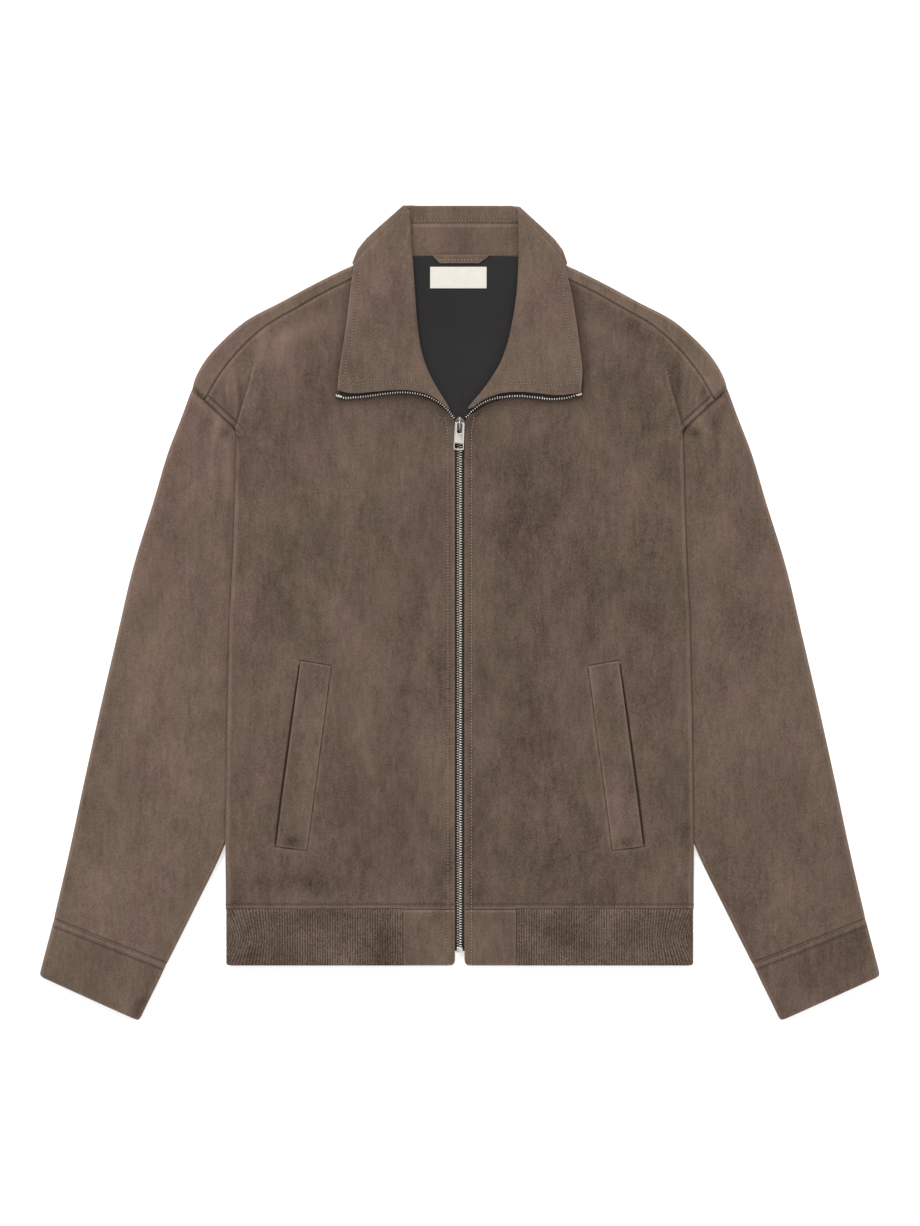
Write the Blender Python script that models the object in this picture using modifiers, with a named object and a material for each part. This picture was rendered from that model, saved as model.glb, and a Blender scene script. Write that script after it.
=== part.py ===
"""A suede zip jacket laid flat on its back, front up.

X runs across the jacket (+X is the wearer's left), Y runs from the hem to the collar and Z up
from the surface it lies on. Tables are in millimetres and the meshes in metres. Every cloth
piece is one wall: its outer face is worked out from the tables and Solidify gives its thickness.
Tables hold the +X half where a piece is symmetric, and a side of -1 mirrors them.
"""
import math

import bmesh
import bpy
import numpy as np
from mathutils import Vector
from mathutils.bvhtree import BVHTree

MM = 0.001
GAP = 0.3                # between pieces that meet at a seam

# Driving sizes
SUEDE = 2.0              # thickness of the body's suede wall
COLLAR_WALL = 2.4        # two layers of suede
LINING = 1.0
TAPE = 0.8
HEM_SEAM_Y = -288.0      # where the body meets the hem band
HEM_Y = -343.1           # lower edge of the hem band
HEM_HALF = 226.9         # half width of the rib band
TAB_EDGE = 55.2          # outer edge of a hem tab, from the centre front
FRONT_EDGE = 4.6         # front edge, from the centre front
SIDE_TURN = 14.0         # how far a front turns under to the side seam
NECK_SEAM_Y = 347.6      # back neck seam, where the lining starts
ROLL_Y = 396.0           # collar roll at the back of the neck
FALL_EDGE_Y = 336.0      # lower edge of the collar's fall, beneath the back

# Levels of the layers, from the surface up
SLEEVE_FREE = 7.5        # height of the flattened sleeve beside the body
SLEEVE_UNDER = 4.9       # height of its strip beneath the body
BODY_OVER_SLEEVE = 5.5   # underside of the back where it lies on a sleeve
BODY_OVER_FALL = 2.9     # underside of the back where it lies on the collar's fall
CHEST_GAP = 2.2          # between back and front in the middle
EDGE_GAP = 3.4           # between back and front near the folds
TAPE_LEVEL = 2.7         # underside of the zip tapes

# Body outline, +X half
SIDE_FOLD = ((-288, 228), (-226, 228), (-96, 226), (-6, 224), (50, 221), (110, 219), (150, 218),
             (174, 217))                                                      # y, x
SHOULDER_FOLD = ((261, 218), (258, 228), (247.5, 247), (231, 265.5), (209.5, 284), (173.5, 303.5),
                 (139, 322.0), (104, 338.5), (86, 345))                        # x, y
FORWARD_SEAM = ((248.6, 207.6), (235, 231), (218.6, 252), (192, 277.5), (155.7, 299),
                (128.4, 314.2), (107, 324.4), (92, 333), (78, 345))           # x, y
FRONT_NECK = ((4.6, 189), (19, 198.5), (37, 208), (50, 221), (58, 245), (63, 275), (66, 305),
              (70, 330), (78, 345))                                           # x, y
ARMHOLE = ((213, 174), (261, 218))                                            # x, y
ARMHOLE_GAP = 0.5
CREASE = ((178, 216), (200, 210), (217, 205), (240, 200), (262, 196))         # y, x
CREASE_RISE = 5.0
SHOULDER_COLUMNS = 12    # columns of the grid along a shoulder, the same in back and front

# Sleeve sections from the armhole to the cuff seam: the outer and the inner edge
SLEEVE = (
    # outer_x, outer_y, inner_x, inner_y
    (261.0, 218.0, 213.0, 174.0),
    (271.0, 191.0, 197.0, 135.0),
    (284.0, 157.0, 181.0, 95.0),
    (298.0, 110.0, 171.0, 45.0),
    (318.0, 45.0, 171.0, -25.0),
    (334.0, -23.0, 186.0, -95.0),
    (350.0, -92.0, 208.0, -165.0),
    (366.0, -164.5, 231.0, -231.0),
    (380.5, -233.0, 258.0, -287.0),
    (395.6, -298.5, 285.4, -341.9),
)
CUFF = (
    (395.9, -299.3, 285.8, -342.7),
    (400.5, -317.5, 294.5, -360.5),
    (405.4, -336.0, 303.6, -378.8),
    (409.8, -353.2, 312.4, -397.2),
)
CUFF_HEIGHT = 7.0

# Collar sections from the slider up to the shoulder. The roll differs a little side to side.
COLLAR = (
    # roll_left_x, roll_right_x, roll_y, edge_x, edge_y, turn_in, puff
    (8.5, 11.0, 199.5, 22.0, 203.5, 2.6, 0.6),
    (14.5, 15.2, 206.5, 36.0, 210.5, 4.0, 0.9),
    (22.5, 21.3, 216.0, 58.0, 213.5, 6.0, 1.2),
    (32.5, 29.5, 230.0, 88.0, 213.0, 9.0, 1.6),
    (41.0, 35.5, 245.0, 120.0, 217.0, 12.0, 2.0),
    (47.3, 40.0, 262.0, 117.5, 234.0, 12.0, 2.2),
    (52.5, 43.0, 285.0, 114.5, 254.0, 11.0, 2.2),
    (56.3, 44.7, 310.0, 111.0, 280.0, 10.0, 1.8),
    (58.0, 46.0, 335.0, 107.5, 305.0, 10.0, 1.2),
    (58.8, 48.0, 362.0, 103.0, 325.0, 14.0, 0.6),
    (57.5, 49.5, 389.5, 97.0, 338.0, 13.0, 0.0),
)
BACK_ROLL_X = (-36.0, -18.0, 4.0, 26.0, 44.0)   # sections across the back of the neck
BACK_TURN = 17.5                                 # roll to band seam
BACK_PUFF = 1.1
NECK_MIDDLE = 4.0                                # middle of the back of the neck as it lies
FALL_SPREAD = 0.35                               # how far the fall's edge is longer than the roll
FALL_LEVEL = 1.2                                 # middle of the wall of the fall
SHOULDER_AXIS_Z = 6.1                            # axis about which the collar turns at the shoulder
TURN_REACH = 2.0                                 # turn-in's distance from that axis
LEAF_CLEAR = 1.9                                 # middle of the leaf above the front
TAPE_CLEAR = 1.4                                 # more of it over the zip tape

# Hanger tab and label corners
HANGER = ((-26.5, 347.0), (30.5, 347.0), (19.0, 340.8), (-19.5, 340.8))    # x, y
LABEL = ((-28.8, 337.4), (26.2, 337.4), (26.2, 316.4), (-28.8, 316.4))     # x, y

# Pocket welt corners
WELT = ((154.7, -46.1), (125.2, -51.4), (149.0, -230.8), (178.9, -227.0))  # x, y
WELT_WALL = 1.5
WELT_CLEAR = 0.5

# Hem rib
RIBS_A_FRONT = 72
RIB_WALL = 2.4
RIB_RISE = 0.45
RIB_FRONT_LEVEL = 3.2    # inner face of the front half
RIB_FOLD = 2.8           # radius of the band's side folds

# Zip
ZIP_TAPE = (
    # teeth_x, teeth_y, teeth_z, back_x, back_y, back_z
    (0.6, -330.5, 0.0, 13.0, -330.5, 0.0),
    (0.6, -110.0, 0.0, 13.0, -110.0, 0.0),
    (0.6, 60.0, 0.0, 13.0, 60.0, 0.0),
    (0.6, 176.0, 0.0, 12.0, 176.0, 0.0),
    (1.0, 189.6, 0.0, 4.1, 189.6, 0.0),
    (3.6, 192.2, 0.1, 3.9, 193.4, 1.5),
    (9.0, 193.8, 0.8, 8.4, 195.6, 2.4),
    (16.0, 198.0, 2.8, 14.6, 200.2, 3.4),
    (27.0, 203.6, 3.8, 24.5, 209.5, 3.9),
    (40.0, 208.4, 3.8, 40.0, 218.5, 3.9),
    (60.0, 209.2, 3.8, 60.0, 221.0, 3.9),
    (88.0, 208.6, 3.8, 88.0, 219.5, 3.9),
    (117.6, 210.6, 3.8, 117.0, 220.5, 3.9),
)
ZIP_STOP = (116.0, 211.2, 8.4)                   # centre of a top stop
ZIP_BOX = (0, -327.6, 5.0)
PULL_AXIS_Y = 184.0
SLIDER_TOP = 7.0
PULL_AXIS_Z = 9.0
PULL_LENGTH = 26.8
PULL_TILT = math.radians(3.2)

COLOURS = {              # linear colour, roughness, metallic
    "suede": ((0.156, 0.109, 0.082), 0.95, 0.0),
    "rib": ((0.098, 0.069, 0.053), 0.95, 0.0),
    "lining": ((0.027, 0.024, 0.024), 0.6, 0.0),
    "label": ((0.76, 0.73, 0.65), 0.8, 0.0),
    "tape": ((0.04, 0.03, 0.026), 0.9, 0.0),
    "metal": ((0.62, 0.61, 0.59), 0.3, 1.0),
}


# ---- curves and surfaces -------------------------------------------------------------------

def spline(points, count):
    """Points at even spacing along a smooth curve through the given ones."""
    points = np.array(points, float)
    knots = np.concatenate([[0], np.cumsum(np.linalg.norm(np.diff(points, axis=0), axis=1))])
    slopes = np.gradient(points, knots, axis=0) if len(points) > 2 else None
    fine = np.linspace(0, knots[-1], 40 * len(points))
    if slopes is None:
        curve = np.array([np.interp(fine, knots, points[:, k]) for k in range(points.shape[1])]).T
    else:
        piece = np.clip(np.searchsorted(knots, fine, side="right") - 1, 0, len(knots) - 2)
        span = (knots[piece + 1] - knots[piece])[:, None]
        t = (fine - knots[piece])[:, None] / span
        curve = ((2 * t**3 - 3 * t**2 + 1) * points[piece] + (t**3 - 2 * t**2 + t) * span * slopes[piece]
                 + (3 * t**2 - 2 * t**3) * points[piece + 1] + (t**3 - t**2) * span * slopes[piece + 1])
    length = np.concatenate([[0], np.cumsum(np.linalg.norm(np.diff(curve, axis=0), axis=1))])
    even = np.linspace(0, length[-1], count)
    return np.array([np.interp(even, length, curve[:, k]) for k in range(curve.shape[1])]).T


def ramp(value, low, high):
    """0 below low, 1 above high and smooth between."""
    t = np.clip((np.asarray(value, float) - low) / (high - low), 0, 1)
    return t * t * (3 - 2 * t)


def along(table, at):
    """The second column of a table at a value of its first, which rises."""
    first, second = np.array(table, float).T
    return np.interp(at, first, second)


def patch(bottom, top, left, right):
    """A grid of plan points spanned by four edges (a Coons patch)."""
    u = np.linspace(0, 1, len(bottom))[None, :, None]
    v = np.linspace(0, 1, len(left))[:, None, None]
    across = (1 - u) * left[:, None] + u * right[:, None]
    along_v = (1 - v) * bottom[None] + v * top[None]
    corners = ((1 - u) * (1 - v) * bottom[0] + u * (1 - v) * bottom[-1]
               + (1 - u) * v * top[0] + u * v * top[-1])
    return across + along_v - corners


def raised(plan, height):
    """A plan grid with the height of each point."""
    return np.dstack([plan, height(plan[..., 0], plan[..., 1])])


def mirrored(grid, side):
    """The grid on its side; a mirrored one has its columns turned round, so its faces still face out."""
    if side > 0:
        return grid
    turned = grid[:, ::-1].copy()
    turned[..., 0] *= -1
    return turned


# ---- levels of the layers ------------------------------------------------------------------

SLEEVE_INNER = sorted((row[3], row[2]) for row in SLEEVE)
SHOULDER_LINE = sorted((x, y) for x, y in SHOULDER_FOLD)


def over_sleeve(x, y):
    """How far the body is lifted by the sleeve's strip beneath it, from 0 to 1."""
    inner = along(SLEEVE_INNER, y)
    return ramp(np.abs(x), inner - 44, inner - 14) * (1 - ramp(y, 162, 182))


def back_under(x, y):
    """Underside of the back."""
    fall = ramp(y, 262, 326) * (1 - ramp(np.abs(x), 112, 150))
    return BODY_OVER_SLEEVE * over_sleeve(x, y) + BODY_OVER_FALL * fall


def back_top(x, y):
    return back_under(x, y) + SUEDE


def crease_rise(x, y):
    """The front's fold from the shoulder down to the body's side."""
    line = along(CREASE, y)
    beside = ramp(np.abs(x), line - 45, line - 4) * (1 - ramp(np.abs(x), line - 1, line + 5))
    fade = 1 - ramp(y, 182, 262)
    return CREASE_RISE * beside * fade * (1 - over_sleeve(x, y))


def front_top(x, y):
    """Upper face of a front."""
    below_shoulder = along(SHOULDER_LINE, np.abs(x)) - y
    shoulder = (1 - ramp(below_shoulder, 18, 70)) * ramp(np.abs(x), 70, 100)
    armhole = ramp(np.abs(x), 180, 212) * ramp(y, 120, 165)
    side = ramp(np.abs(x), 175, 215) * ramp(y, HEM_SEAM_Y + 2, HEM_SEAM_Y + 60)
    edge = np.maximum(np.maximum(shoulder, armhole), side)
    gap = CHEST_GAP + (EDGE_GAP - CHEST_GAP) * edge
    return back_top(x, y) + gap + SUEDE + crease_rise(x, y)


# ---- making objects ------------------------------------------------------------------------

def material(kind):
    made = bpy.data.materials.get(kind)
    if made:
        return made
    colour, roughness, metallic = COLOURS[kind]
    made = bpy.data.materials.new(kind)
    made.use_nodes = True
    shader = made.node_tree.nodes["Principled BSDF"]
    shader.inputs["Base Color"].default_value = (*colour, 1)
    shader.inputs["Roughness"].default_value = roughness
    shader.inputs["Metallic"].default_value = metallic
    made.diffuse_color = (*colour, 1)
    return made


def add_object(name, mesh, kind):
    piece = bpy.data.objects.new(name, mesh)
    JACKET.objects.link(piece)
    mesh.materials.append(material(kind))
    return piece


def grid_mesh(name, grids, closed=False):
    """One mesh of grids of points (rows, columns, xyz in mm) that share their common edges."""
    made = bmesh.new()
    for grid in grids:
        rows, columns = grid.shape[:2]
        verts = [[made.verts.new(Vector(point) * MM) for point in row] for row in grid]
        for i in range(rows - 1):
            for j in range(columns if closed else columns - 1):
                k = (j + 1) % columns
                made.faces.new((verts[i][j], verts[i][k], verts[i + 1][k], verts[i + 1][j]))
    bmesh.ops.remove_doubles(made, verts=made.verts, dist=0.02 * MM)
    mesh = bpy.data.meshes.new(name)
    made.to_mesh(mesh)
    made.free()
    mesh.shade_smooth()
    return mesh


def cloth(name, grids, thickness, kind, closed=False, inward=True):
    """A wall whose outer face is the grids; not inward puts them in the wall's middle."""
    piece = add_object(name, grid_mesh(name, grids, closed), kind)
    wall = piece.modifiers.new("Wall", "SOLIDIFY")
    wall.thickness = thickness * MM
    wall.offset = -1 if inward else 0
    return piece


def flat_piece(name, outline, low, high, kind):
    """A flat outline given as a closed list of plan points, from one level to another."""
    curve = bpy.data.curves.new(name, "CURVE")
    curve.dimensions = "2D"
    curve.fill_mode = "BOTH"
    curve.extrude = (high - low) / 2 * MM
    run = curve.splines.new("POLY")
    run.points.add(len(outline) - 1)
    for point, (x, y) in zip(run.points, outline):
        point.co = (x * MM, y * MM, 0, 1)
    run.use_cyclic_u = True
    drawn = bpy.data.objects.new(name, curve)
    JACKET.objects.link(drawn)
    drawn.location.z = (low + high) / 2 * MM
    bpy.context.view_layer.update()
    mesh = bpy.data.meshes.new_from_object(drawn.evaluated_get(bpy.context.evaluated_depsgraph_get()))
    placed = drawn.matrix_world.copy()
    bpy.data.objects.remove(drawn)
    whole = bmesh.new()
    whole.from_mesh(mesh)
    bmesh.ops.remove_doubles(whole, verts=whole.verts, dist=0.01 * MM)
    whole.to_mesh(mesh)
    whole.free()
    mesh.materials.clear()
    piece = add_object(name, mesh, kind)
    piece.matrix_world = placed
    return piece


def box(name, centre, size, kind, bevel=0.0):
    bpy.ops.mesh.primitive_cube_add(size=1, location=Vector(centre) * MM)
    piece = bpy.context.object
    piece.name = piece.data.name = name
    for vert in piece.data.vertices:
        vert.co = Vector(c * s * MM for c, s in zip(vert.co, size))
    for held in piece.users_collection:
        held.objects.unlink(piece)
    JACKET.objects.link(piece)
    piece.data.materials.append(material(kind))
    if bevel:
        edge = piece.modifiers.new("Edge", "BEVEL")
        edge.width = bevel * MM
        edge.segments = 2
    return piece


def upper_face(piece):
    """The faces of a finished piece, for others to lie on."""
    bpy.context.view_layer.update()
    return BVHTree.FromObject(piece, bpy.context.evaluated_depsgraph_get())


def resting(plan, under, clear):
    """A plan grid laid on the faces beneath it, moved out by a clearance."""
    def level(x, y):
        hit = under.ray_cast(Vector((x * MM, y * MM, 1)), Vector((0, 0, -1)))[0]
        return hit.z / MM + clear
    return np.array([[(x, y, level(x, y)) for x, y in row] for row in plan])


# ---- body ----------------------------------------------------------------------------------

def arc_about(base, outward, low, high, steps):
    """Points of a half turn from low to high level, bulging outward from a plan point."""
    rise = (high - low) / 2
    turned = []
    for angle in np.linspace(-math.pi / 2, math.pi / 2, steps):
        x, y = np.array(base) + np.array(outward) * rise * math.cos(angle)
        turned.append((x, y, (low + high) / 2 + rise * math.sin(angle)))
    return turned


def outward_of(line):
    """Unit normals of a plan polyline, to the right of its direction."""
    step = np.gradient(line, axis=0)
    normal = np.stack([step[:, 1], -step[:, 0]], axis=1)
    return normal / np.linalg.norm(normal, axis=1)[:, None]


def armhole_edge(shares):
    """Points of the body's edge at the armhole, just clear of the sleeve."""
    start, end = np.array(ARMHOLE, float)
    run = (end - start) / np.linalg.norm(end - start)
    clear = np.array((-run[1], run[0])) * ARMHOLE_GAP
    return start + clear + np.outer(shares, end - start)


def side_turn(y):
    """How far a front turns under, less at the armhole."""
    return SIDE_TURN - 8 * ramp(y, 140, 170)


def side_levels(y):
    """Underside and top of the body's side fold."""
    x = along(SIDE_FOLD, y)
    inner = along(SLEEVE_INNER, y)
    low = BODY_OVER_SLEEVE * ramp(x - SIDE_TURN, inner - 44, inner - 14)
    return low, front_top(x - 4, y)


def front(side):
    """A front: its face, and the turn round the body's side to the side seam."""
    rows_below, rows_above = 19, 5
    low_y = np.linspace(HEM_SEAM_Y, SIDE_FOLD[-1][0], rows_below)
    reach = np.array([(side_levels(y)[1] - side_levels(y)[0]) / 2 for y in low_y])
    side_edge = np.stack([along(SIDE_FOLD, low_y) - reach, low_y], axis=1)
    armhole = armhole_edge(np.linspace(0.15, 0.6, rows_above - 1))
    outer = np.concatenate([side_edge, armhole, FORWARD_SEAM[:1]])
    inner_low = np.stack([np.full(rows_below - 3, FRONT_EDGE),
                          np.linspace(HEM_SEAM_Y, FRONT_NECK[0][1], rows_below - 3)], axis=1)
    inner_high = spline(FRONT_NECK, rows_above + 4)[1:]
    inner = np.concatenate([inner_low, inner_high])
    bottom = np.linspace(inner[0], outer[0], SHOULDER_COLUMNS)
    top = spline(FORWARD_SEAM, SHOULDER_COLUMNS)[::-1]
    face = raised(patch(bottom, top, inner, outer), front_top)
    turn = []
    for i, y in enumerate(low_y):
        low, high = side_levels(y)[0], face[i, -1, 2]
        fold = arc_about(side_edge[i], (1, 0), low, high, 6)[::-1]
        seam = [(along(SIDE_FOLD, y) - side_turn(y) + GAP / 2, y, low)]
        turn.append(fold + seam)
    name = "front_left" if side > 0 else "front_right"
    grids = [mirrored(face, side), mirrored(np.array(turn), side)]
    return cloth(name, grids, SUEDE, "suede")


def back():
    """The back: its flat panel and the strips that come over the shoulders to the forward seams."""
    neck_columns, rows = 5, 21
    fold = spline(SHOULDER_FOLD, SHOULDER_COLUMNS)
    normals = outward_of(fold)
    inset = fold.copy()
    levels = []
    for i, (x, y) in enumerate(fold):
        low = float(back_under(x, y))
        high = float(front_top(x, y - 12))
        levels.append((low, high))
        inset[i] = fold[i] - normals[i] * (high - low) / 2
    right_top = inset
    neck = np.linspace((70, NECK_SEAM_Y), (-70, NECK_SEAM_Y), neck_columns)
    left_top = right_top[::-1] * (-1, 1)
    top = np.concatenate([right_top, neck, left_top])[::-1]
    armpit = [(203.6, 156), (207, 172)]
    low_y = np.linspace(HEM_SEAM_Y, 140, rows - 6)
    seam = np.stack([along(SIDE_FOLD, low_y) - SIDE_TURN - GAP / 2, low_y], axis=1)
    right = np.concatenate([seam, armpit, armhole_edge((0.03, 0.38, 0.7)), right_top[:1]])
    left = right * (-1, 1)
    bottom = np.linspace(left[0], right[0], len(top))
    face = raised(patch(bottom, top, left, right), back_under)
    seam_line = spline(FORWARD_SEAM, SHOULDER_COLUMNS)
    strip = []
    for i in range(SHOULDER_COLUMNS):
        low, high = levels[i]
        start = face[-1, -1 - i]
        turned = arc_about(start[:2], normals[i], start[2], high, 6)
        end = seam_line[i] + normals[i] * (GAP + 0.3)
        last = np.array(turned[-1][:2])
        for share in (0.5, 1.0):
            x, y = last + (end - last) * share
            blend = high + (float(front_top(*seam_line[i])) - high) * share
            turned.append((x, y, blend))
        strip.append(turned)
    strip = np.array(strip)
    mirror = strip * (-1, 1, 1)
    return cloth("back_panel", [face[:, ::-1], strip[::-1], mirror], SUEDE, "suede")


def flattened_tube(name, sections, heights, side, count, across=8):
    """A tube lying on the surface: flat beneath, its two edges rounded."""
    table = spline(sections, count)
    rings = []
    for outer_x, outer_y, inner_x, inner_y in table:
        outer = np.array((outer_x, outer_y))
        inner = np.array((inner_x, inner_y))
        run = (outer - inner) / np.linalg.norm(outer - inner)
        high_in, high_out = heights(*inner), heights(*outer)
        start = inner + run * high_in / 2
        end = outer - run * high_out / 2
        under = [(*p, 0.0) for p in np.linspace(start, end, 3)]
        over = [(*p, heights(*p)) for p in np.linspace(end, start, across)]
        outer_turn = arc_about(end, run, 0, high_out, 6)[1:-1]
        inner_turn = arc_about(start, -run, 0, high_in, 6)[::-1][1:-1]
        rings.append(under + outer_turn + over + inner_turn)
    grid = np.array(rings)
    if side < 0:
        grid = grid[:, ::-1].copy()
        grid[..., 0] *= -1
    return cloth(name, [grid], SUEDE, "suede", closed=True)


def sleeve_height(x, y):
    """Upper face of a sleeve, lower where the body lies on it."""
    fold = float(along(SIDE_FOLD, y))
    free = max(float(ramp(x, fold + 12, fold + 32)), float(ramp(-y, 232, 262)))
    return SLEEVE_UNDER + (SLEEVE_FREE - SLEEVE_UNDER) * free


def cuff_height(x, y):
    return CUFF_HEIGHT


# ---- collar --------------------------------------------------------------------------------

LEAF_SHARES = (1.0, 0.75, 0.5, 0.25)


def section(leaf, turn, leaf_levels, roll_level, turn_level):
    """Distances from the roll and levels of a collar section, from its edge over the roll to its turn-in."""
    rise = (roll_level - turn_level) / 2
    reach = abs(rise)
    middle = (roll_level + turn_level) / 2
    points = [(reach + (leaf - reach) * share, level) for share, level in zip(LEAF_SHARES, leaf_levels)]
    for angle in (90, 135, 180, 225, 270):
        turned = math.radians(angle)
        points.append((reach + reach * math.cos(turned), middle + rise * math.sin(turned)))
    points += [(reach + (turn - reach) * share, turn_level) for share in (0.5, 1.0)]
    return points


def collar_row(row, side):
    """Roll point, direction to the leaf's edge, and leaf width of a row of the collar table."""
    left_x, right_x, roll_y, edge_x, edge_y, turn, puff = row
    roll = np.array((left_x if side > 0 else right_x, roll_y))
    reach = np.array((edge_x, edge_y)) - roll
    leaf = np.linalg.norm(reach)
    return roll, reach / leaf, leaf, turn, puff


def collar_front(side):
    """Sections of the leaf that lies on a front."""
    made = []
    for row in COLLAR:
        roll, run, leaf, turn, puff = collar_row(row, side)
        tape = TAPE_CLEAR * (1 - float(ramp(row[4], 217, 240)))
        levels = []
        for share in LEAF_SHARES:
            spot = roll + run * leaf * share
            over_tape = tape * (0.4 + 0.6 * share)
            levels.append(float(front_top(*spot)) + LEAF_CLEAR + over_tape + puff * (1 - share) ** 1.5)
        top = float(front_top(*roll))
        points = section(leaf, turn, levels, top + LEAF_CLEAR + puff, top - SUEDE / 2)
        made.append([((roll + run * d)[0] * side, (roll + run * d)[1], z) for d, z in points])
    return made


def collar_shoulder(side):
    """Sections that turn the leaf round the shoulder, from above the front to beneath the back."""
    roll, run, leaf, turn, _ = collar_row(COLLAR[-1], side)
    outward = np.array((-run[1], run[0]))
    level = SHOULDER_AXIS_Z - FALL_LEVEL
    points = section(leaf, turn, [level] * len(LEAF_SHARES), level, TURN_REACH)
    made = []
    for angle in (60, 30, 0, -30, -60, -90):
        turned = math.radians(angle)
        placed = []
        for distance, reach in points:
            x, y = roll + run * distance + outward * reach * math.cos(turned)
            placed.append((x * side, y, SHOULDER_AXIS_Z + reach * math.sin(turned)))
        made.append(placed)
    return made


def neck_puff(x):
    """How far the inside of the collar stands up at the middle of the back."""
    return BACK_PUFF * (1 - ramp(np.abs(x - NECK_MIDDLE), 20, 52))


def collar_back():
    """Sections across the back of the neck: the fall beneath, the roll, and the turn-in on top."""
    leaf = ROLL_Y - FALL_EDGE_Y
    made = []
    for x in BACK_ROLL_X:
        turn_level = SHOULDER_AXIS_Z - TURN_REACH + float(neck_puff(x))
        points = section(leaf, BACK_TURN, [FALL_LEVEL] * len(LEAF_SHARES), FALL_LEVEL, turn_level)
        made.append([(x * (1 + FALL_SPREAD * max(d, 0) / leaf), ROLL_Y - d, z) for d, z in points])
    return made


def collar():
    """One wall from one front edge round the shoulders and the back of the neck to the other."""
    right = collar_front(-1) + collar_shoulder(-1)
    left = collar_front(1) + collar_shoulder(1)
    rows = np.array(right + collar_back() + left[::-1])
    return cloth("collar", [rows[::-1]], COLLAR_WALL, "suede", inward=False)


def band():
    """The strip between the collar's back seam and the neck seam."""
    def level(x, y):
        return SHOULDER_AXIS_Z - TURN_REACH + SUEDE / 2 + neck_puff(x)
    top_y, low_y = ROLL_Y - BACK_TURN - 3 * GAP, NECK_SEAM_Y + GAP
    top = np.linspace((-56, top_y), (61, top_y), 13)
    bottom = np.linspace((-63, low_y), (69, low_y), 13)
    plan = patch(bottom, top, np.linspace(bottom[0], top[0], 4), np.linspace(bottom[-1], top[-1], 4))
    return cloth("collar_band", [raised(plan, level)], SUEDE, "suede")


# ---- neck ----------------------------------------------------------------------------------

def lining(back_panel):
    """Back lining, where it shows in the neck and just beneath the fronts."""
    rows, columns = 14, 9
    share = np.linspace(0, 1, rows)
    right = np.stack([np.interp(share, (0, 0.2, 0.6, 1), (10, 36, 64, 68)),
                      194 + (NECK_SEAM_Y - GAP - 194) * share], axis=1)
    left = right * (-1, 1)
    bottom = np.linspace(left[0], right[0], columns)
    top = np.linspace(left[-1], right[-1], columns)
    plan = patch(bottom, top, left, right)
    return cloth("back_lining", [resting(plan, upper_face(back_panel), GAP + LINING)], LINING, "lining")


def over_lining(name, corners, thickness, kind, under):
    """A small piece that lies on the lining: top left, top right, bottom right, bottom left."""
    top_left, top_right, bottom_right, bottom_left = (np.array(c, float) for c in corners)
    plan = patch(np.linspace(bottom_left, bottom_right, 6), np.linspace(top_left, top_right, 6),
                 np.linspace(bottom_left, top_left, 5), np.linspace(bottom_right, top_right, 5))
    return cloth(name, [resting(plan, under, GAP + 0.1 + thickness)], thickness, kind)


# ---- pockets, hem --------------------------------------------------------------------------

def welt(side, front_panel):
    corners = np.array(WELT) * (side, 1)
    top_out, top_in, low_in, low_out = corners
    rows, columns = 15, 5
    plan = patch(np.linspace(low_in, low_out, columns), np.linspace(top_in, top_out, columns),
                 np.linspace(low_in, top_in, rows), np.linspace(low_out, top_out, rows))
    if side < 0:
        plan = plan[:, ::-1]
    name = "pocket_welt_left" if side > 0 else "pocket_welt_right"
    return cloth(name, [resting(plan, upper_face(front_panel), WELT_CLEAR + WELT_WALL)], WELT_WALL, "suede")


def hem_tab(side):
    """A tab with its lower front corner rounded."""
    radius = 6.0
    low, high = HEM_Y, HEM_SEAM_Y - GAP * 2
    corner = [(FRONT_EDGE + radius - radius * math.sin(a), low + radius - radius * math.cos(a))
              for a in np.linspace(0, math.pi / 2, 5)]
    outline = [(TAB_EDGE, high), (TAB_EDGE, low)] + corner + [(FRONT_EDGE, high)]
    outline = [(x * side, y) for x, y in outline]
    level = back_top(0, 0) + CHEST_GAP
    name = "hem_tab_left" if side > 0 else "hem_tab_right"
    return flat_piece(name, outline, float(level), float(level) + SUEDE, "suede")


def rib_stations():
    """Outer and inner points of the rib band in the plane across it, from tab to tab."""
    start, fold_x = TAB_EDGE + GAP, HEM_HALF - RIB_FOLD
    steps = 2 * RIBS_A_FRONT
    level = RIB_FRONT_LEVEL + RIB_WALL - RIB_RISE
    stations = [((x, level + RIB_RISE * (i % 2)), (x, RIB_FRONT_LEVEL))
                for i, x in enumerate(np.linspace(start, fold_x, steps + 1))]
    centre = level / 2
    inner = (RIB_FRONT_LEVEL - RIB_WALL) / 2
    inner_centre = (RIB_FRONT_LEVEL + RIB_WALL) / 2
    for angle in np.linspace(math.pi / 2, -math.pi / 2, 7)[1:]:
        c, s = math.cos(angle), math.sin(angle)
        stations.append(((fold_x + RIB_FOLD * c, centre + centre * s),
                         (fold_x + inner * c, inner_centre + inner * s)))
    under = [((x, 0.0), (x, RIB_WALL)) for x in np.linspace(fold_x, -fold_x, 7)[1:-1]]
    other = [((-ox, oz), (-ix, iz)) for (ox, oz), (ix, iz) in stations[::-1]]
    return stations + under + other


def hem_rib():
    """The knitted band: raised ribs outside the front, plain inside and beneath."""
    high, low = HEM_SEAM_Y - GAP * 2, HEM_Y
    rings = []
    for (outer_x, outer_z), (inner_x, inner_z) in rib_stations():
        rings.append([(outer_x, high, outer_z), (outer_x, low, outer_z),
                      (inner_x, low, inner_z), (inner_x, high, inner_z)])
    mesh = grid_mesh("hem_rib", [np.array(rings)], closed=True)
    whole = bmesh.new()
    whole.from_mesh(mesh)
    bmesh.ops.holes_fill(whole, edges=[e for e in whole.edges if e.is_boundary], sides=4)
    bmesh.ops.recalc_face_normals(whole, faces=whole.faces)
    whole.to_mesh(mesh)
    whole.free()
    return add_object("hem_rib", mesh, "rib")


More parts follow.
